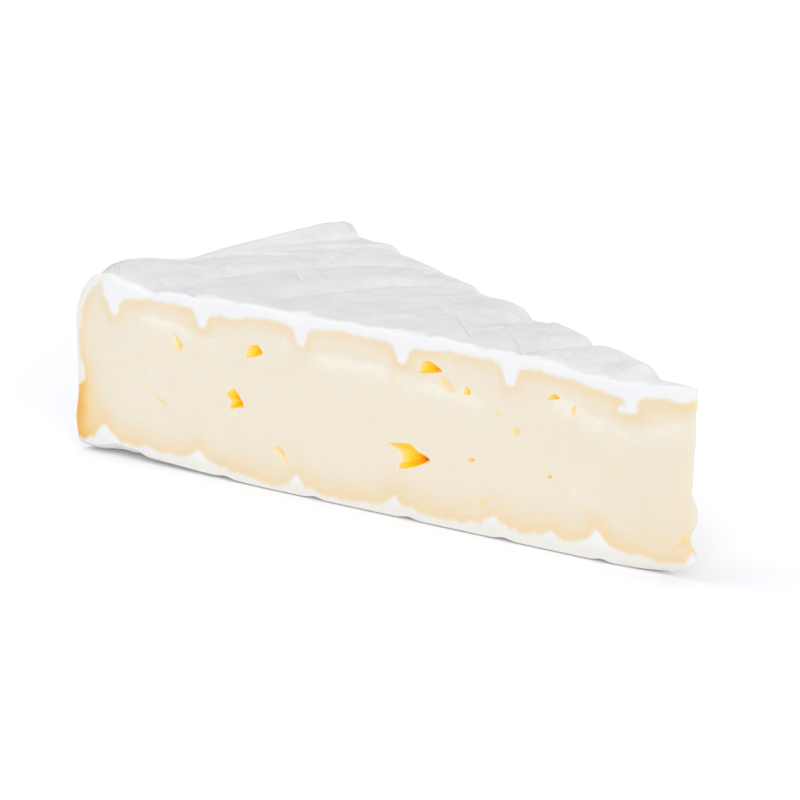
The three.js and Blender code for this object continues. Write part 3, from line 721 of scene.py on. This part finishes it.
def under_edge(out, face):
    rows = FACES[face]
    edge = teeth(out, rows["under_teeth"], rows["under_line"], UNDER_TOOTH_POWER)
    height, level, cell = SCALLOPS
    edge += layers(out, 0, UNDER_EDGE_RAGS, face) + height * (level - np.abs(noise(out, 0, cell, 33 + face)))
    return edge + UNDER_TIP_RISE * (1 - smoothstep(out, 0, UNDER_TIP_REACH))


def rim_edge(up, face):
    thickness = np.interp(up, *zip(*FACES[face]["rim_rind"]))
    return rim_at(up, face) - thickness - layers(up, 0, RIM_EDGE_RAGS, face)


def rim_at(up, face):
    return rim_radius(float(face), clamp(up / HEIGHT))


def face_outline(face):
    """Points along the edge of the rind on a cut face."""
    out = np.arange(0, WHEEL_RADIUS + 1, OUTLINE_SPACING)
    up = np.arange(0, HEIGHT + 2 * LIP_HEIGHT, OUTLINE_SPACING)
    lines = [(out, top_edge(out, face)), (out, under_edge(out, face)), (rim_edge(up, face), up)]
    angle = np.linspace(0, 2 * math.pi, 120)
    for place, height, half_length, half_height, turn in FACES[face]["top_drops"]:
        a, b = turned(np.cos(angle) * half_length, np.sin(angle) * half_height, -turn)
        lines.append((place + a, height + b))
    points = np.concatenate([np.stack(line, -1) for line in lines])
    return points[skin_depth(*points.T, face) < 0.1]


def skin_depth(out, up, face):
    """Roughly how far a point is inside the rind, below zero in the paste."""
    inside = np.maximum(up - top_edge(out, face), under_edge(out, face) - up)
    for place, height, half_length, half_height, turn in FACES[face]["top_drops"]:
        a, b = turned(out - place, up - height, turn)
        inside = np.maximum(inside, half_height * (1 - np.hypot(a / half_length, b / half_height)))
    return np.maximum(inside, out - rim_edge(up, face))


def distances(points, outline):
    tree = kdtree.KDTree(len(outline))
    for index, (a, b) in enumerate(outline.tolist()):
        tree.insert((a, b, 0), index)
    tree.balance()
    return np.array([tree.find((a, b, 0))[2] for a, b in points.tolist()])


def smear_strength(out, up, face):
    strength = np.zeros_like(out)
    for place, height, width, tall, turn, amount in SMEARS[face]:
        a, b = turned(out - place, up - height, turn)
        strength += amount * np.exp(-((a / width) ** 2 + (b / tall) ** 2) ** 1.5)
    return strength


def crevice_strength(out, up):
    reach = mix(CREVICE_REACH, CREVICE_REACH_AT_TIP, clamp(1 - out / CREVICE[0][0]))
    strength = np.zeros_like(out)
    for start, end in zip(CREVICE, CREVICE[1:]):
        strength = np.maximum(strength, bell(along_segment(out, up, start, end)[1], reach))
    return strength * smoothstep(-out, -CREVICE[0][0], -0.5 * CREVICE[0][0])


# Faces of the wedge, stitched from rows of points


def bay_stations():
    """Places along the wedge, as bays, where a row of points runs across it."""
    lines = [0, *(crease[0] for crease in TOP_CREASES), WHEEL_RADIUS + LAST_BAY_EXTRA]
    stations = []
    for line, length in enumerate(np.diff(lines)):
        count = round(length / STATION_SPACING)
        stations += [line + i / count for i in range(count)]
    return stations + [RIM_BAY]


def rise_steps():
    band = RIM_BAND / HEIGHT
    edge = round(RIM_BAND / EDGE_RISE_SPACING)
    middle = round((HEIGHT - 2 * RIM_BAND) / MIDDLE_RISE_SPACING)
    low = np.linspace(0, band, edge, endpoint=False)
    centre = np.linspace(band, 1 - band, middle, endpoint=False)
    return np.concatenate([low, centre, np.linspace(1 - band, 1, edge + 1)])


STATIONS = bay_stations()
RISES = rise_steps()


def row_across(bay, rise, spacing):
    half = math.sin(HALF_ANGLE) * WHEEL_RADIUS * bay / RIM_BAY
    spacing = RIM_SPACING if bay == RIM_BAY else spacing
    steps = max(1, round(2 * half / spacing))
    side = np.linspace(-1, 1, steps + 1) if bay else np.zeros(1)
    if half > 3:
        near = 1 - np.array(EDGE_POINTS) / half
        inner = side[np.abs(side) < near[-1] - 0.3 * spacing / half]
        side = np.concatenate([[-1], -near, inner, near[::-1], [1]])
    return side, np.stack(np.broadcast_arrays(bay, side, rise), -1)


def row_up(bay, face):
    return RISES, np.stack(np.broadcast_arrays(bay, face if bay else 0, RISES), -1)


def stitch(near, far):
    """Fills the strip between two rows with triangles, always taking the shorter step forward."""
    near_at, far_at = near[0].tolist(), far[0].tolist()
    corners = []
    i = j = 0
    shift = len(near_at)
    while i < len(near_at) - 1 or j < len(far_at) - 1:
        next_near = near_at[i + 1] if i < len(near_at) - 1 else math.inf
        next_far = far_at[j + 1] if j < len(far_at) - 1 else math.inf
        if next_near <= next_far:
            corners += (i, i + 1, shift + j)
            i += 1
        else:
            corners += (i, shift + j + 1, shift + j)
            j += 1
    return np.concatenate([near[1], far[1]])[corners]


def stitch_rows(rows):
    return np.concatenate([stitch(a, b) for a, b in zip(rows, rows[1:])])


SKIN, CUT, HOLLOW = 0, 1, 2


def shaped(places):
    """Positions for bay, side and rise, with the fine relief of whichever face they lie on."""
    bay, side, rise = places.T
    points = wedge_points(bay, side, rise)
    x, y, z = points.T
    out = np.hypot(TIP_X - x, y - TIP_Y)
    edge_taper = smoothstep(out * HALF_ANGLE * (1 - np.abs(side)), -0.4, 2.0)
    on_top = rise > 0.999
    points[on_top, 2] += ((top_relief(x, y) + thread_relief(bay, side)) * edge_taper)[on_top]
    on_rim = (bay > RIM_BAY - 0.001) & (rise > 0) & (rise < 1)
    fade = np.sin(np.pi * rise) ** 0.5
    inward = rim_relief(side * HALF_ANGLE * out, z) * fade * (1 - np.abs(side) ** 12)
    points[on_rim, 0] -= (inward * np.cos(side * HALF_ANGLE))[on_rim]
    points[on_rim, 1] += (inward * np.sin(side * HALF_ANGLE))[on_rim]
    for face in (-1, 1):
        on_face = np.abs(side - face) < 1e-6
        amount = face_relief(out[on_face], z[on_face], face)
        amount *= 1 - smoothstep(bay[on_face], RIM_BAY - 0.1, RIM_BAY)
        points[on_face] += amount[:, None] * face_normal(face)
    return points


def face_normal(face):
    """Straight out of a cut face."""
    return np.array([math.sin(HALF_ANGLE), face * math.cos(HALF_ANGLE), 0])


def new_mesh(name, points, triangles, slots):
    mesh = bpy.data.meshes.new(name)
    mesh.from_pydata((points * MM).tolist(), [], triangles.tolist())
    mesh.polygons.foreach_set("material_index", slots.astype(np.int32))
    return mesh


def wedge_mesh(name):
    inward = STATIONS[::-1]
    faces = [
        (SKIN, [row_across(bay, 1, TOP_SPACING) for bay in STATIONS]),
        (SKIN, [row_across(bay, 0, UNDER_SPACING) for bay in inward]),
        (CUT, [row_up(bay, -1) for bay in STATIONS]),
        (CUT, [row_up(bay, 1) for bay in inward]),
        (SKIN, [row_across(RIM_BAY, rise, TOP_SPACING) for rise in RISES[::-1]]),
    ]
    soups = [(kind, stitch_rows(rows)) for kind, rows in faces]
    soup = np.concatenate([places for kind, places in soups])
    slots = np.concatenate([np.full(len(places) // 3, kind) for kind, places in soups])
    soup[soup[:, 0] == 0, 1] = 0
    keys = np.round(soup * 1e7).astype(np.int64)
    first, corner = np.unique(keys, axis=0, return_index=True, return_inverse=True)[1:]
    return new_mesh(name, shaped(soup[first]), corner.reshape(-1, 3), slots)


def read(items, name, kind=float, width=1):
    """One property of all the points, corners or faces of a mesh."""
    values = np.empty(len(items) * width, kind)
    items.foreach_get(name, values)
    return values


def add_object(name, data):
    piece = bpy.data.objects.new(name, data)
    bpy.context.scene.collection.objects.link(piece)
    return piece


# Eyes cut into the faces


def smooth_loop(corners, count):
    """A closed curve through the corners, rounded a little at each."""
    corners = np.array(corners)
    steps = np.arange(count) / count * len(corners)
    at, t = np.floor(steps).astype(int), (steps % 1)[:, None]
    a, b, c, d = (corners[(at + shift) % len(corners)] for shift in (-1, 0, 1, 2))
    rounded = b + 0.5 * t * (c - a + t * (2 * a - 5 * b + 4 * c - d + t * (3 * (b - c) + d - a)))
    return mix(mix(b, c, t), rounded, EYE_SOFTNESS)


def eye_body(eye, face, index):
    """A closed pocket: rings that shrink from the outline to the deepest point."""
    corners, deepest, depth = eye
    loop, deepest = smooth_loop(corners, EYE_POINTS), np.array(deepest)
    centre = loop.mean(0)
    rings, depths = [centre + (loop - centre) * EYE_MOUTH_SPREAD, loop], [-EYE_MOUTH_RISE, 0]
    for ring in range(1, EYE_RINGS):
        t = ring / EYE_RINGS
        uneven = 1 + EYE_UNEVEN * noise(loop[:, 0] * 3 + ring * 4, loop[:, 1] * 3, 2, 50 + index)
        rings.append(mix(deepest, loop, ((1 - t ** EYE_WALL_POWER) * uneven)[:, None]))
        depths.append(depth * t ** EYE_FLOOR_POWER)
    flat = np.concatenate([*rings, [rings[0].mean(0)], [deepest]])
    down = np.concatenate([np.repeat(depths, EYE_POINTS), [-EYE_MOUTH_RISE], [depth]])
    for start, end, reach in EYE_RIDGES[face]:
        ridge = EYE_RIDGE_HEIGHT * bell(along_segment(*flat.T, start, end)[1], reach)
        down = np.where(down > 0, down * (1 - ridge), down)
    points = np.stack([*plan_point((flat[:, 0], face)), flat[:, 1]], -1) - down[:, None] * face_normal(face)
    triangles = []
    lid, floor_point = len(points) - 2, len(points) - 1
    for i in range(EYE_POINTS):
        j = (i + 1) % EYE_POINTS
        triangles.append((lid, j, i))
        for ring in range(EYE_RINGS):
            a, b = ring * EYE_POINTS, (ring + 1) * EYE_POINTS
            triangles += [(a + i, a + j, b + i), (a + j, b + j, b + i)]
        last = EYE_RINGS * EYE_POINTS
        triangles.append((last + i, last + j, floor_point))
    triangles = np.array(triangles)
    facing_out = np.linalg.det(points[triangles]).sum() > 0
    return points, triangles if facing_out else triangles[:, ::-1]


def cut_eyes(piece):
    bodies = [eye_body(eye, face, index) for face in EYES for index, eye in enumerate(EYES[face])]
    points = np.concatenate([points for points, triangles in bodies])
    triangles = np.concatenate([body[1] + index * len(body[0]) for index, body in enumerate(bodies)])
    mesh = new_mesh("eye_cutter", points, triangles, np.full(len(triangles), HOLLOW))
    cutter = add_object("eye_cutter", mesh)
    for material in piece.data.materials:
        cutter.data.materials.append(material)
    modifier = piece.modifiers.new("eyes", "BOOLEAN")
    modifier.operation, modifier.object, modifier.solver = "DIFFERENCE", cutter, "MANIFOLD"
    graph = bpy.context.evaluated_depsgraph_get()
    cut = bpy.data.meshes.new_from_object(piece.evaluated_get(graph))
    piece.modifiers.clear()
    piece.data = cut
    bpy.data.objects.remove(cutter)


# What each point of the mesh is made of, kept as attributes for the materials


def ripeness(out, up, face, skin):
    """How far the paste has ripened: gold beside the rind, deepest along the rim."""
    inside = np.maximum(-skin - GOLD_START, 0)
    below = 1 - smoothstep(up, *GOLD_LOW_HEIGHTS)
    reach = mix(GOLD_REACH_TOP, mix(*GOLD_REACH_LOW, smoothstep(out, *GOLD_REACH_OUT)), below)
    reach += layers(out, up, GOLD_REACH_UNEVEN, face)
    strength = GOLD + layers(out, up, RIPE_PATCHES, face) + GOLD_MORE_LOW * below
    band = strength * bell(inside, reach) + swell(GOLD_AT_RIND, inside)
    inset = rim_at(up, face) - out
    low = 1 - smoothstep(up, *GOLD_RIM_HEIGHTS)
    rim = mix(*RIM_GOLD, low) * bell(inset, mix(*RIM_GOLD_REACH, low))
    rim += mix(*RIM_GLOW, low) * bell(inset, RIM_GLOW_REACH)
    foot = swell(FOOT_GOLD, inset) * swell(FOOT_GOLD_UP, up)
    tip = TIP_GOLD * (1 - smoothstep(out, *TIP_GOLD_OUT))
    gold = band + FACES[face]["rim_gold"] * (rim + foot) + tip + layers(out, up, RIPE_MOTTLE, face)
    return gold - pale_strength(out, up, face)


def veil_strength(out, up, face):
    """Where rind lies thin over the paste, along the rim and in the corner below the top."""
    strength, heights, reach = RIM_VEIL
    along_rim = strength * smoothstep(up, *heights) * bell(rim_at(up, face) - out, reach)
    strength, heights, reach = CORNER_VEIL
    end = FACES[face]["top_end"]
    in_corner = strength * smoothstep(up, *heights) * smoothstep(out, end - reach, end)
    return np.maximum(along_rim, in_corner)


def pale_strength(out, up, face):
    """Pale arcs in the paste, beyond the gold."""
    strength = np.zeros_like(out)
    for points, reach, amount in PALE_STREAKS[face]:
        for start, end in zip(points, points[1:]):
            distance = along_segment(out, up, start, end)[1]
            soft = np.where(distance * (start[0] - end[0]) > 0, reach, 3.2 * reach)
            strength = np.maximum(strength, amount * bell(distance, soft))
    return strength


def attributes(mesh):
    """Writes how each point looks. On the cut faces, skin is how deep it lies in the rind."""
    x, y, z = (read(mesh.vertices, "co", width=3).reshape(-1, 3) / MM).T
    y -= TIP_Y
    names = ("skin", "ripe", "smear", "veil", "hollow", "fresh_and_painted_light", "rub")
    fields = {name: np.zeros(len(x)) for name in names}
    fields["skin"][:] = 1.0
    for face in (-1, 1):
        normal = face_normal(face)
        sunk = -((x - TIP_X) * normal[0] + y * normal[1])
        near = (sunk < 6) & ((y * face > 0) | (sunk < 0.6))
        out = (TIP_X - x) * math.cos(HALF_ANGLE) + face * y * math.sin(HALF_ANGLE)
        on_face = near & on_cut(mesh, face)
        for name, values in cut_look(out[on_face], z[on_face], sunk[on_face], face).items():
            fields[name][on_face] = values
    top = (z > 0.6 * HEIGHT) & (fields["skin"] == 1.0)
    # On the top: whiter where the knife smeared the rind, and painted light on the lip
    fresh_and_painted_light, fields["rub"] = skin_look(x, y, z)
    fields["fresh_and_painted_light"][top] = fresh_and_painted_light[top]
    for name, values in fields.items():
        mesh.attributes.new(name, "FLOAT", "POINT").data.foreach_set("value", values.astype(np.float32))


def cut_look(out, up, sunk, face):
    """What a cut face shows: the rind's edge, ripeness, smears, thin rind and eyes."""
    skin = distances(np.stack([out, up], -1), face_outline(face)) * np.sign(skin_depth(out, up, face))
    smear = smear_strength(out, up, face)
    if face < 0:
        smear = np.maximum(smear, CREVICE_SMEAR * crevice_strength(out, up))
    return {
        "skin": skin,
        "ripe": ripeness(out, up, face, skin),
        "veil": veil_strength(out, up, face),
        "hollow": np.maximum(sunk, 0),
        "smear": clamp(smear),
        # 1 where the cut rind is white; towards 0 low down and near the rim, where it gets painted shade
        "fresh_and_painted_light": smoothstep(up, 1.8, 4.0) * smoothstep(rim_at(up, face) - out, 1.0, 3.5),
    }


def skin_look(x, y, z):
    """Where the skin is whiter, as the knife smeared it, and painted whiter on the lip as painted light; and
    where it is rubbed to tan.
    """
    out = np.hypot(TIP_X - x, y)
    inset = WHEEL_RADIUS - out
    angle = np.arctan2(y, TIP_X - x) / HALF_ANGLE
    from_cut = out * HALF_ANGLE * (1 - np.abs(angle))
    dips = np.maximum(crease_dip(out, -1) * (angle < 0), crease_dip(out, 1) * (angle > 0))
    uneven = np.maximum(1.2 + layers(x, y, SMEAR_UNEVEN), 0.3)
    edge = 1 - smoothstep(from_cut / (mix(*EDGE_WHITE_WIDTH, dips) * uneven), 0.4, 1.6)
    edge *= np.where(angle < 0, *EDGE_WHITE) * smoothstep(inset, 4, 8)
    tip = (1 - smoothstep(out, *TIP_WHITE_OUT)) * smoothstep(noise(x, y, 5, 68), -0.6, 0.5)
    lip = lip_strength(angle)
    # Painted light: the lip's inner face is painted whiter, as if lit
    fresh_and_painted_light = np.maximum.reduce([edge, TIP_WHITE * tip, swell(LIP_PAINTED_LIGHT, inset) * lip])
    shoulder = swell(SHOULDER_TAN, angle) * swell(SHOULDER_TAN_INSET, inset) * smoothstep(z, 35, 36.5)
    streaks = smoothstep(noise(angle * 34, 0, 1.3, 66), -0.1, 0.6)
    crest = swell(CREST_TAN, inset) + streaks * swell(STREAK_TAN, inset)
    rim = RIM_TAN * smoothstep(noise(angle * 30, z, 7, 61), 0.25, 0.9) * (inset < 2) * (z < 34)
    under = UNDER_TAN * smoothstep(noise(x, y, 9, 62), -0.1, 0.8) * smoothstep(-z, -1.6, -0.6)
    under *= smoothstep(from_cut, 1, 4)
    return fresh_and_painted_light, clamp(np.maximum.reduce([shoulder, crest * lip * smoothstep(z, 35, 38), rim, under]))


def on_cut(mesh, face):
    """Which vertices belong to the front or back cut face, or to an eye in it."""
    slots = read(mesh.polygons, "material_index", np.int32)
    totals = read(mesh.polygons, "loop_total", np.int32)
    corners = read(mesh.loops, "vertex_index", np.int32)
    chosen = np.zeros(len(mesh.vertices), bool)
    chosen[corners[np.repeat(slots != SKIN, totals)]] = True
    return chosen & (read(mesh.vertices, "co", width=3)[1::3] * face >= 0)


# Materials

# The way that the rind's small wrinkles run, against the wedge's length
CREASE_TURN = math.radians(21)


class Tree:
    """A short way to add nodes: sockets are given by name, as numbers, colours or other sockets."""

    def __init__(self, name):
        self.material = bpy.data.materials.new(name)
        self.material.use_nodes = True
        self.nodes = self.material.node_tree.nodes
        self.shader = self.nodes["Principled BSDF"]
        self.place = self.add("TexCoord", {}, "Object")

    def put(self, node, sockets):
        for name, value in sockets.items():
            socket = node.inputs[name]
            if isinstance(value, bpy.types.NodeSocket):
                self.material.node_tree.links.new(value, socket)
            else:
                socket.default_value = value

    def add(self, kind, sockets, output=0, **settings):
        node = self.nodes.new("ShaderNode" + kind)
        for name, value in settings.items():
            setattr(node, name, value)
        self.put(node, sockets)
        return node.outputs[output]

    def maths(self, operation, a, b=0.0):
        return self.add("Math", {0: a, 1: b}, operation=operation)

    def vector(self, operation, sockets):
        return self.add("VectorMath", sockets, operation=operation)

    def fit(self, value, low, high, to_low=0.0, to_high=1.0, how="SMOOTHSTEP"):
        sockets = {"Value": value, "From Min": low, "From Max": high, "To Min": to_low, "To Max": to_high}
        return self.add("MapRange", sockets, interpolation_type=how)

    def blend(self, factor, a, b):
        return self.add("Mix", {0: factor, 6: a, 7: b}, 2, data_type="RGBA")

    def noise(self, size, detail=3.0, rough=0.5):
        """Noise whose lumps are about size millimetres wide."""
        sockets = {"Vector": self.place, "Scale": 1 / (size * MM), "Detail": detail, "Roughness": rough}
        return self.add("TexNoise", sockets)

    def creases(self, size, width):
        """Thin lines about size millimetres apart that come and go, longer towards the tip."""
        turn = {"Vector": self.place, "Rotation": (0, 0, CREASE_TURN), "Scale": (0.4, 1, 1)}
        wander = self.add("TexNoise", {"Vector": self.place, "Scale": 1 / (1.4 * size * MM)}, "Color")
        shift = self.vector("SUBTRACT", {0: wander, 1: (0.5, 0.5, 0.5)})
        push = self.vector("SCALE", {0: shift, "Scale": size * MM})
        where = self.vector("ADD", {0: self.add("Mapping", turn), 1: push})
        cells = {"Vector": where, "Scale": 1 / (size * MM)}
        distance = self.add("TexVoronoi", cells, "Distance", feature="DISTANCE_TO_EDGE")
        line = self.fit(distance, 0.0, width, 1.0, 0.0)
        return self.maths("MULTIPLY", line, self.fit(self.noise(1.6 * size, 2.0, 0.5), 0.45, 0.62))

    def attribute(self, name):
        return self.add("Attribute", {}, "Fac", attribute_name=name)

    def ramp(self, value, stops):
        colour = self.add("ValToRGB", {"Fac": value}, "Color")
        elements = colour.node.color_ramp.elements
        elements[0].position, elements[0].color = stops[0][0], srgb(*stops[0][1])
        elements[1].position, elements[1].color = stops[-1][0], srgb(*stops[-1][1])
        for position, middle in stops[1:-1]:
            elements.new(position).color = srgb(*middle)
        return colour

    def bump(self, height, strength, distance):
        return self.add("Bump", {"Height": height, "Strength": strength, "Distance": distance * MM})


def srgb(red, green, blue):
    def linear(value):
        value /= 255
        return value / 12.92 if value <= 0.04045 else ((value + 0.055) / 1.055) ** 2.4
    return (linear(red), linear(green), linear(blue), 1)


RIND_WHITE = srgb(224, 223, 224)
RIND_SHADE = srgb(217, 216, 218)
# Knife-white rind, also used as painted light on the lip's lit inner face
RIND_FRESH_AND_LIT = srgb(237, 237, 238)
# Painted shade: the cut rind low down and along the rim, a little darker and warmer
RIND_LOW_SHADE = srgb(234, 232, 226)
# Painted shade for the rind's fine crease lines
RIND_CREASE_SHADE = srgb(208, 206, 209)
RIND_TAN = srgb(206, 184, 160)
VEIL = srgb(232, 222, 210)
SMEAR_PALE = srgb(248, 220, 150)
SMEAR_GOLD = srgb(250, 206, 96)

# Colours of the paste from pale to deep gold, against ripeness
RIPE_FROM, RIPE_TO = -0.5, 2.0
RIPE_STOPS = [
    (0, (244, 240, 228)), (0.2, (235, 226, 208)), (0.4, (236, 218, 185)),
    (0.58, (237, 213, 166)), (0.78, (238, 196, 118)), (1, (236, 178, 88)),
]

# Painted light and shade inside an eye, against depth in millimetres: a glow of light through the
# paste, yellow and then orange, darkening to painted shade at the bottom
DEEPEST = 3.0
EYE_PAINTED_LIGHT_STOPS = [
    (0, (240, 226, 192)), (0.1, (244, 214, 140)), (0.24, (248, 200, 70)), (0.42, (248, 184, 12)),
    (0.66, (238, 160, 3)), (0.84, (214, 124, 3)), (1, (130, 62, 4)),
]


def rind_material():
    """The bloomy white skin, smeared whiter here and rubbed to tan there."""
    tree = Tree("bloomy_rind")
    colour = tree.blend(tree.fit(tree.noise(7.0, 4.0, 0.55), 0.3, 0.75), RIND_WHITE, RIND_SHADE)
    creases = tree.creases(6.0, 0.06)
    # Painted shade: the fine crease lines darken the rind a little
    colour = tree.blend(tree.maths("MULTIPLY", creases, 0.12), colour, RIND_CREASE_SHADE)
    # Whiter where the knife smeared the rind, and painted light on the lip
    colour = tree.blend(tree.attribute("fresh_and_painted_light"), colour, RIND_FRESH_AND_LIT)
    patchy = tree.fit(tree.noise(1.6, 4.0, 0.65), 0.3, 0.6)
    colour = tree.blend(tree.maths("MULTIPLY", tree.attribute("rub"), patchy), colour, RIND_TAN)
    fuzz = tree.maths("MULTIPLY", tree.noise(0.5, 4.0, 0.7), 0.4)
    lumps = tree.maths("ADD", fuzz, tree.noise(2.4, 3.0, 0.5))
    height = tree.maths("SUBTRACT", lumps, tree.maths("MULTIPLY", creases, 0.5))
    tree.put(tree.shader, {
        "Base Color": colour, "Roughness": 0.92, "Specular IOR Level": 0.2,
        "Subsurface Weight": 0.2, "Subsurface Radius": (1.0, 0.9, 0.8), "Subsurface Scale": 0.4 * MM,
        "Normal": tree.bump(height, 0.6, 0.2),
    })
    return tree.material


def paste_material():
    """A cut face: cream paste, gold beside the rind, and the rind's own cut edge."""
    tree = Tree("paste_and_cut_rind")
    patches = tree.fit(tree.noise(3.2, 4.0, 0.6), 0.25, 0.75, -0.05, 0.05)
    specks = tree.fit(tree.noise(0.7, 2.0, 0.5), 0.3, 0.7, -0.06, 0.06)
    ripe = tree.maths("ADD", tree.maths("ADD", tree.attribute("ripe"), patches), specks)
    colour = tree.ramp(tree.fit(ripe, RIPE_FROM, RIPE_TO, how="LINEAR"), RIPE_STOPS)
    thin = tree.fit(tree.noise(1.8, 3.0, 0.5), 0.2, 0.7, 0.55, 0.95)
    colour = tree.blend(tree.maths("MULTIPLY", tree.attribute("veil"), thin), colour, VEIL)
    frayed = tree.fit(tree.noise(0.6, 3.0, 0.5), 0.3, 0.7, -0.08, 0.08)
    smear = tree.maths("ADD", tree.attribute("smear"), frayed)
    colour = tree.blend(tree.fit(smear, 0.1, 0.4), colour, SMEAR_PALE)
    colour = tree.blend(tree.fit(smear, 0.4, 0.9), colour, SMEAR_GOLD)
    ragged = tree.fit(tree.noise(0.9, 3.0, 0.6), 0.2, 0.8, -0.2, 0.2)
    rind = tree.fit(tree.maths("ADD", tree.attribute("skin"), ragged), -0.8, 0.4)
    # The rind's cut edge: white, with painted shade low down and along the rim
    colour = tree.blend(rind, colour, tree.blend(tree.attribute("fresh_and_painted_light"), RIND_LOW_SHADE, RIND_FRESH_AND_LIT))
    grain = tree.maths("ADD", tree.noise(0.8, 4.0, 0.6), tree.noise(6.0, 2.0, 0.5))
    fuzz = tree.maths("MULTIPLY", tree.noise(0.5, 4.0, 0.7), 0.4)
    lumps = tree.maths("ADD", fuzz, tree.noise(1.8, 3.0, 0.5))
    height = tree.add("Mix", {0: rind, 2: grain, 3: lumps}, data_type="FLOAT")
    tree.put(tree.shader, {
        "Base Color": colour, "Roughness": tree.fit(rind, 0.0, 1.0, 0.48, 0.9),
        "Specular IOR Level": 0.35,
        "Subsurface Weight": 0.5, "Subsurface Radius": (1.0, 0.75, 0.45), "Subsurface Scale": 1.1 * MM,
        "Normal": tree.bump(height, 0.35, 0.12),
    })
    return tree.material


def hollow_material():
    """The inside of an eye, painted as light glowing through the paste, yellow and then orange, with a faint
    emission and painted shade deepest down.
    """
    tree = Tree("paste_in_an_eye")
    uneven = tree.fit(tree.noise(1.1, 3.0, 0.6), 0.25, 0.75, 0.8, 1.25)
    depth = tree.maths("MULTIPLY", tree.attribute("hollow"), uneven)
    colour = tree.ramp(tree.maths("DIVIDE", depth, DEEPEST), EYE_PAINTED_LIGHT_STOPS)
    tree.put(tree.shader, {
        "Base Color": colour, "Roughness": 0.5, "Specular IOR Level": 0.3,
        # Painted glow: the paste in an eye emits a little light of its own colour, more where it is deeper
        "Emission Color": tree.blend(tree.fit(depth, 0.1, 1.3), (0, 0, 0, 1), colour),
        "Emission Strength": 0.3,
        "Normal": tree.bump(tree.noise(0.7, 3.0, 0.6), 0.4, 0.12),
    })
    return tree.material


wedge = add_object("brie_wedge", wedge_mesh("brie_wedge"))
for material in (rind_material(), paste_material(), hollow_material()):
    wedge.data.materials.append(material)
cut_eyes(wedge)
attributes(wedge.data)
wedge.data.polygons.foreach_set("use_smooth", np.ones(len(wedge.data.polygons), bool))
wedge.data.set_sharp_from_angle(angle=SHARP_ANGLE)

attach(wedge, "root")
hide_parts("cheese_wedge")

# The studio: a white floor, a white surround and soft lights

FLOOR_REACH = 3.0
FLOOR_WHITE = srgb(240, 243, 250)
FLOOR_GLOW = (1, 0.86, 0.66, 1)
FLOOR_GLOW_STRENGTH = 0.105
SURROUND = (0.97, 0.985, 1, 1)
SURROUND_STRENGTH = 0.36

# Each light: azimuth and elevation in degrees, distance and diameter in metres, power in watts
LIGHTS = {
    "top_light": (-62, 66, 12, 14, 655),
    "back_light": (185, 60, 12, 12, 300),
    "front_light": (60, 25, 12, 10, 885),
}


def studio_floor():
    mesh = bpy.data.meshes.new("studio_floor")
    corners = [(-1, -1), (1, -1), (1, 1), (-1, 1)]
    mesh.from_pydata([(x * FLOOR_REACH, y * FLOOR_REACH, 0) for x, y in corners], [], [(0, 1, 2, 3)])
    tree = Tree("studio_white")
    tree.put(tree.shader, {
        "Base Color": FLOOR_WHITE, "Roughness": 0.9, "Specular IOR Level": 0.0,
        "Emission Color": FLOOR_GLOW, "Emission Strength": FLOOR_GLOW_STRENGTH,
    })
    mesh.materials.append(tree.material)
    add_object("studio_floor", mesh)


def studio_world():
    scene = bpy.context.scene
    scene.view_settings.view_transform = "Standard"
    scene.view_settings.look = "None"
    world = bpy.data.worlds.new("studio")
    world.use_nodes = True
    background = world.node_tree.nodes["Background"]
    background.inputs["Color"].default_value = SURROUND
    background.inputs["Strength"].default_value = SURROUND_STRENGTH
    scene.world = world


def aim(item, azimuth, elevation, distance, target=Vector()):
    """Points a lamp or camera at a target. At azimuth 0 it looks along +Y, and at 90 along -X."""
    a, e = math.radians(azimuth), math.radians(elevation)
    back = Vector((math.sin(a) * math.cos(e), -math.cos(a) * math.cos(e), math.sin(e)))
    item.location = target + back * distance
    item.rotation_euler = back.to_track_quat("Z", "Y").to_euler()


def area_light(name, azimuth, elevation, distance, size, power):
    light = bpy.data.lights.new(name, "AREA")
    light.shape = "DISK"
    light.size = size
    light.energy = power
    aim(add_object(name, light), azimuth, elevation, distance)


studio_floor()
studio_world()
for light_name, settings in LIGHTS.items():
    area_light(light_name, *settings)

# The camera, found by fitting the wedge's corners to the photograph
CAMERA_AZIMUTH = 55.78
CAMERA_ELEVATION = 11.98
CAMERA_DISTANCE = 1.2
CAMERA_TARGET = Vector((-0.00477, -0.00641, 0.01979))
CAMERA_LENS = 278.6


def studio_camera():
    data = bpy.data.cameras.new("camera")
    data.lens = CAMERA_LENS
    data.clip_start = 0.01
    camera = add_object("camera", data)
    aim(camera, CAMERA_AZIMUTH, CAMERA_ELEVATION, CAMERA_DISTANCE, CAMERA_TARGET)
    bpy.context.scene.camera = camera


studio_camera()
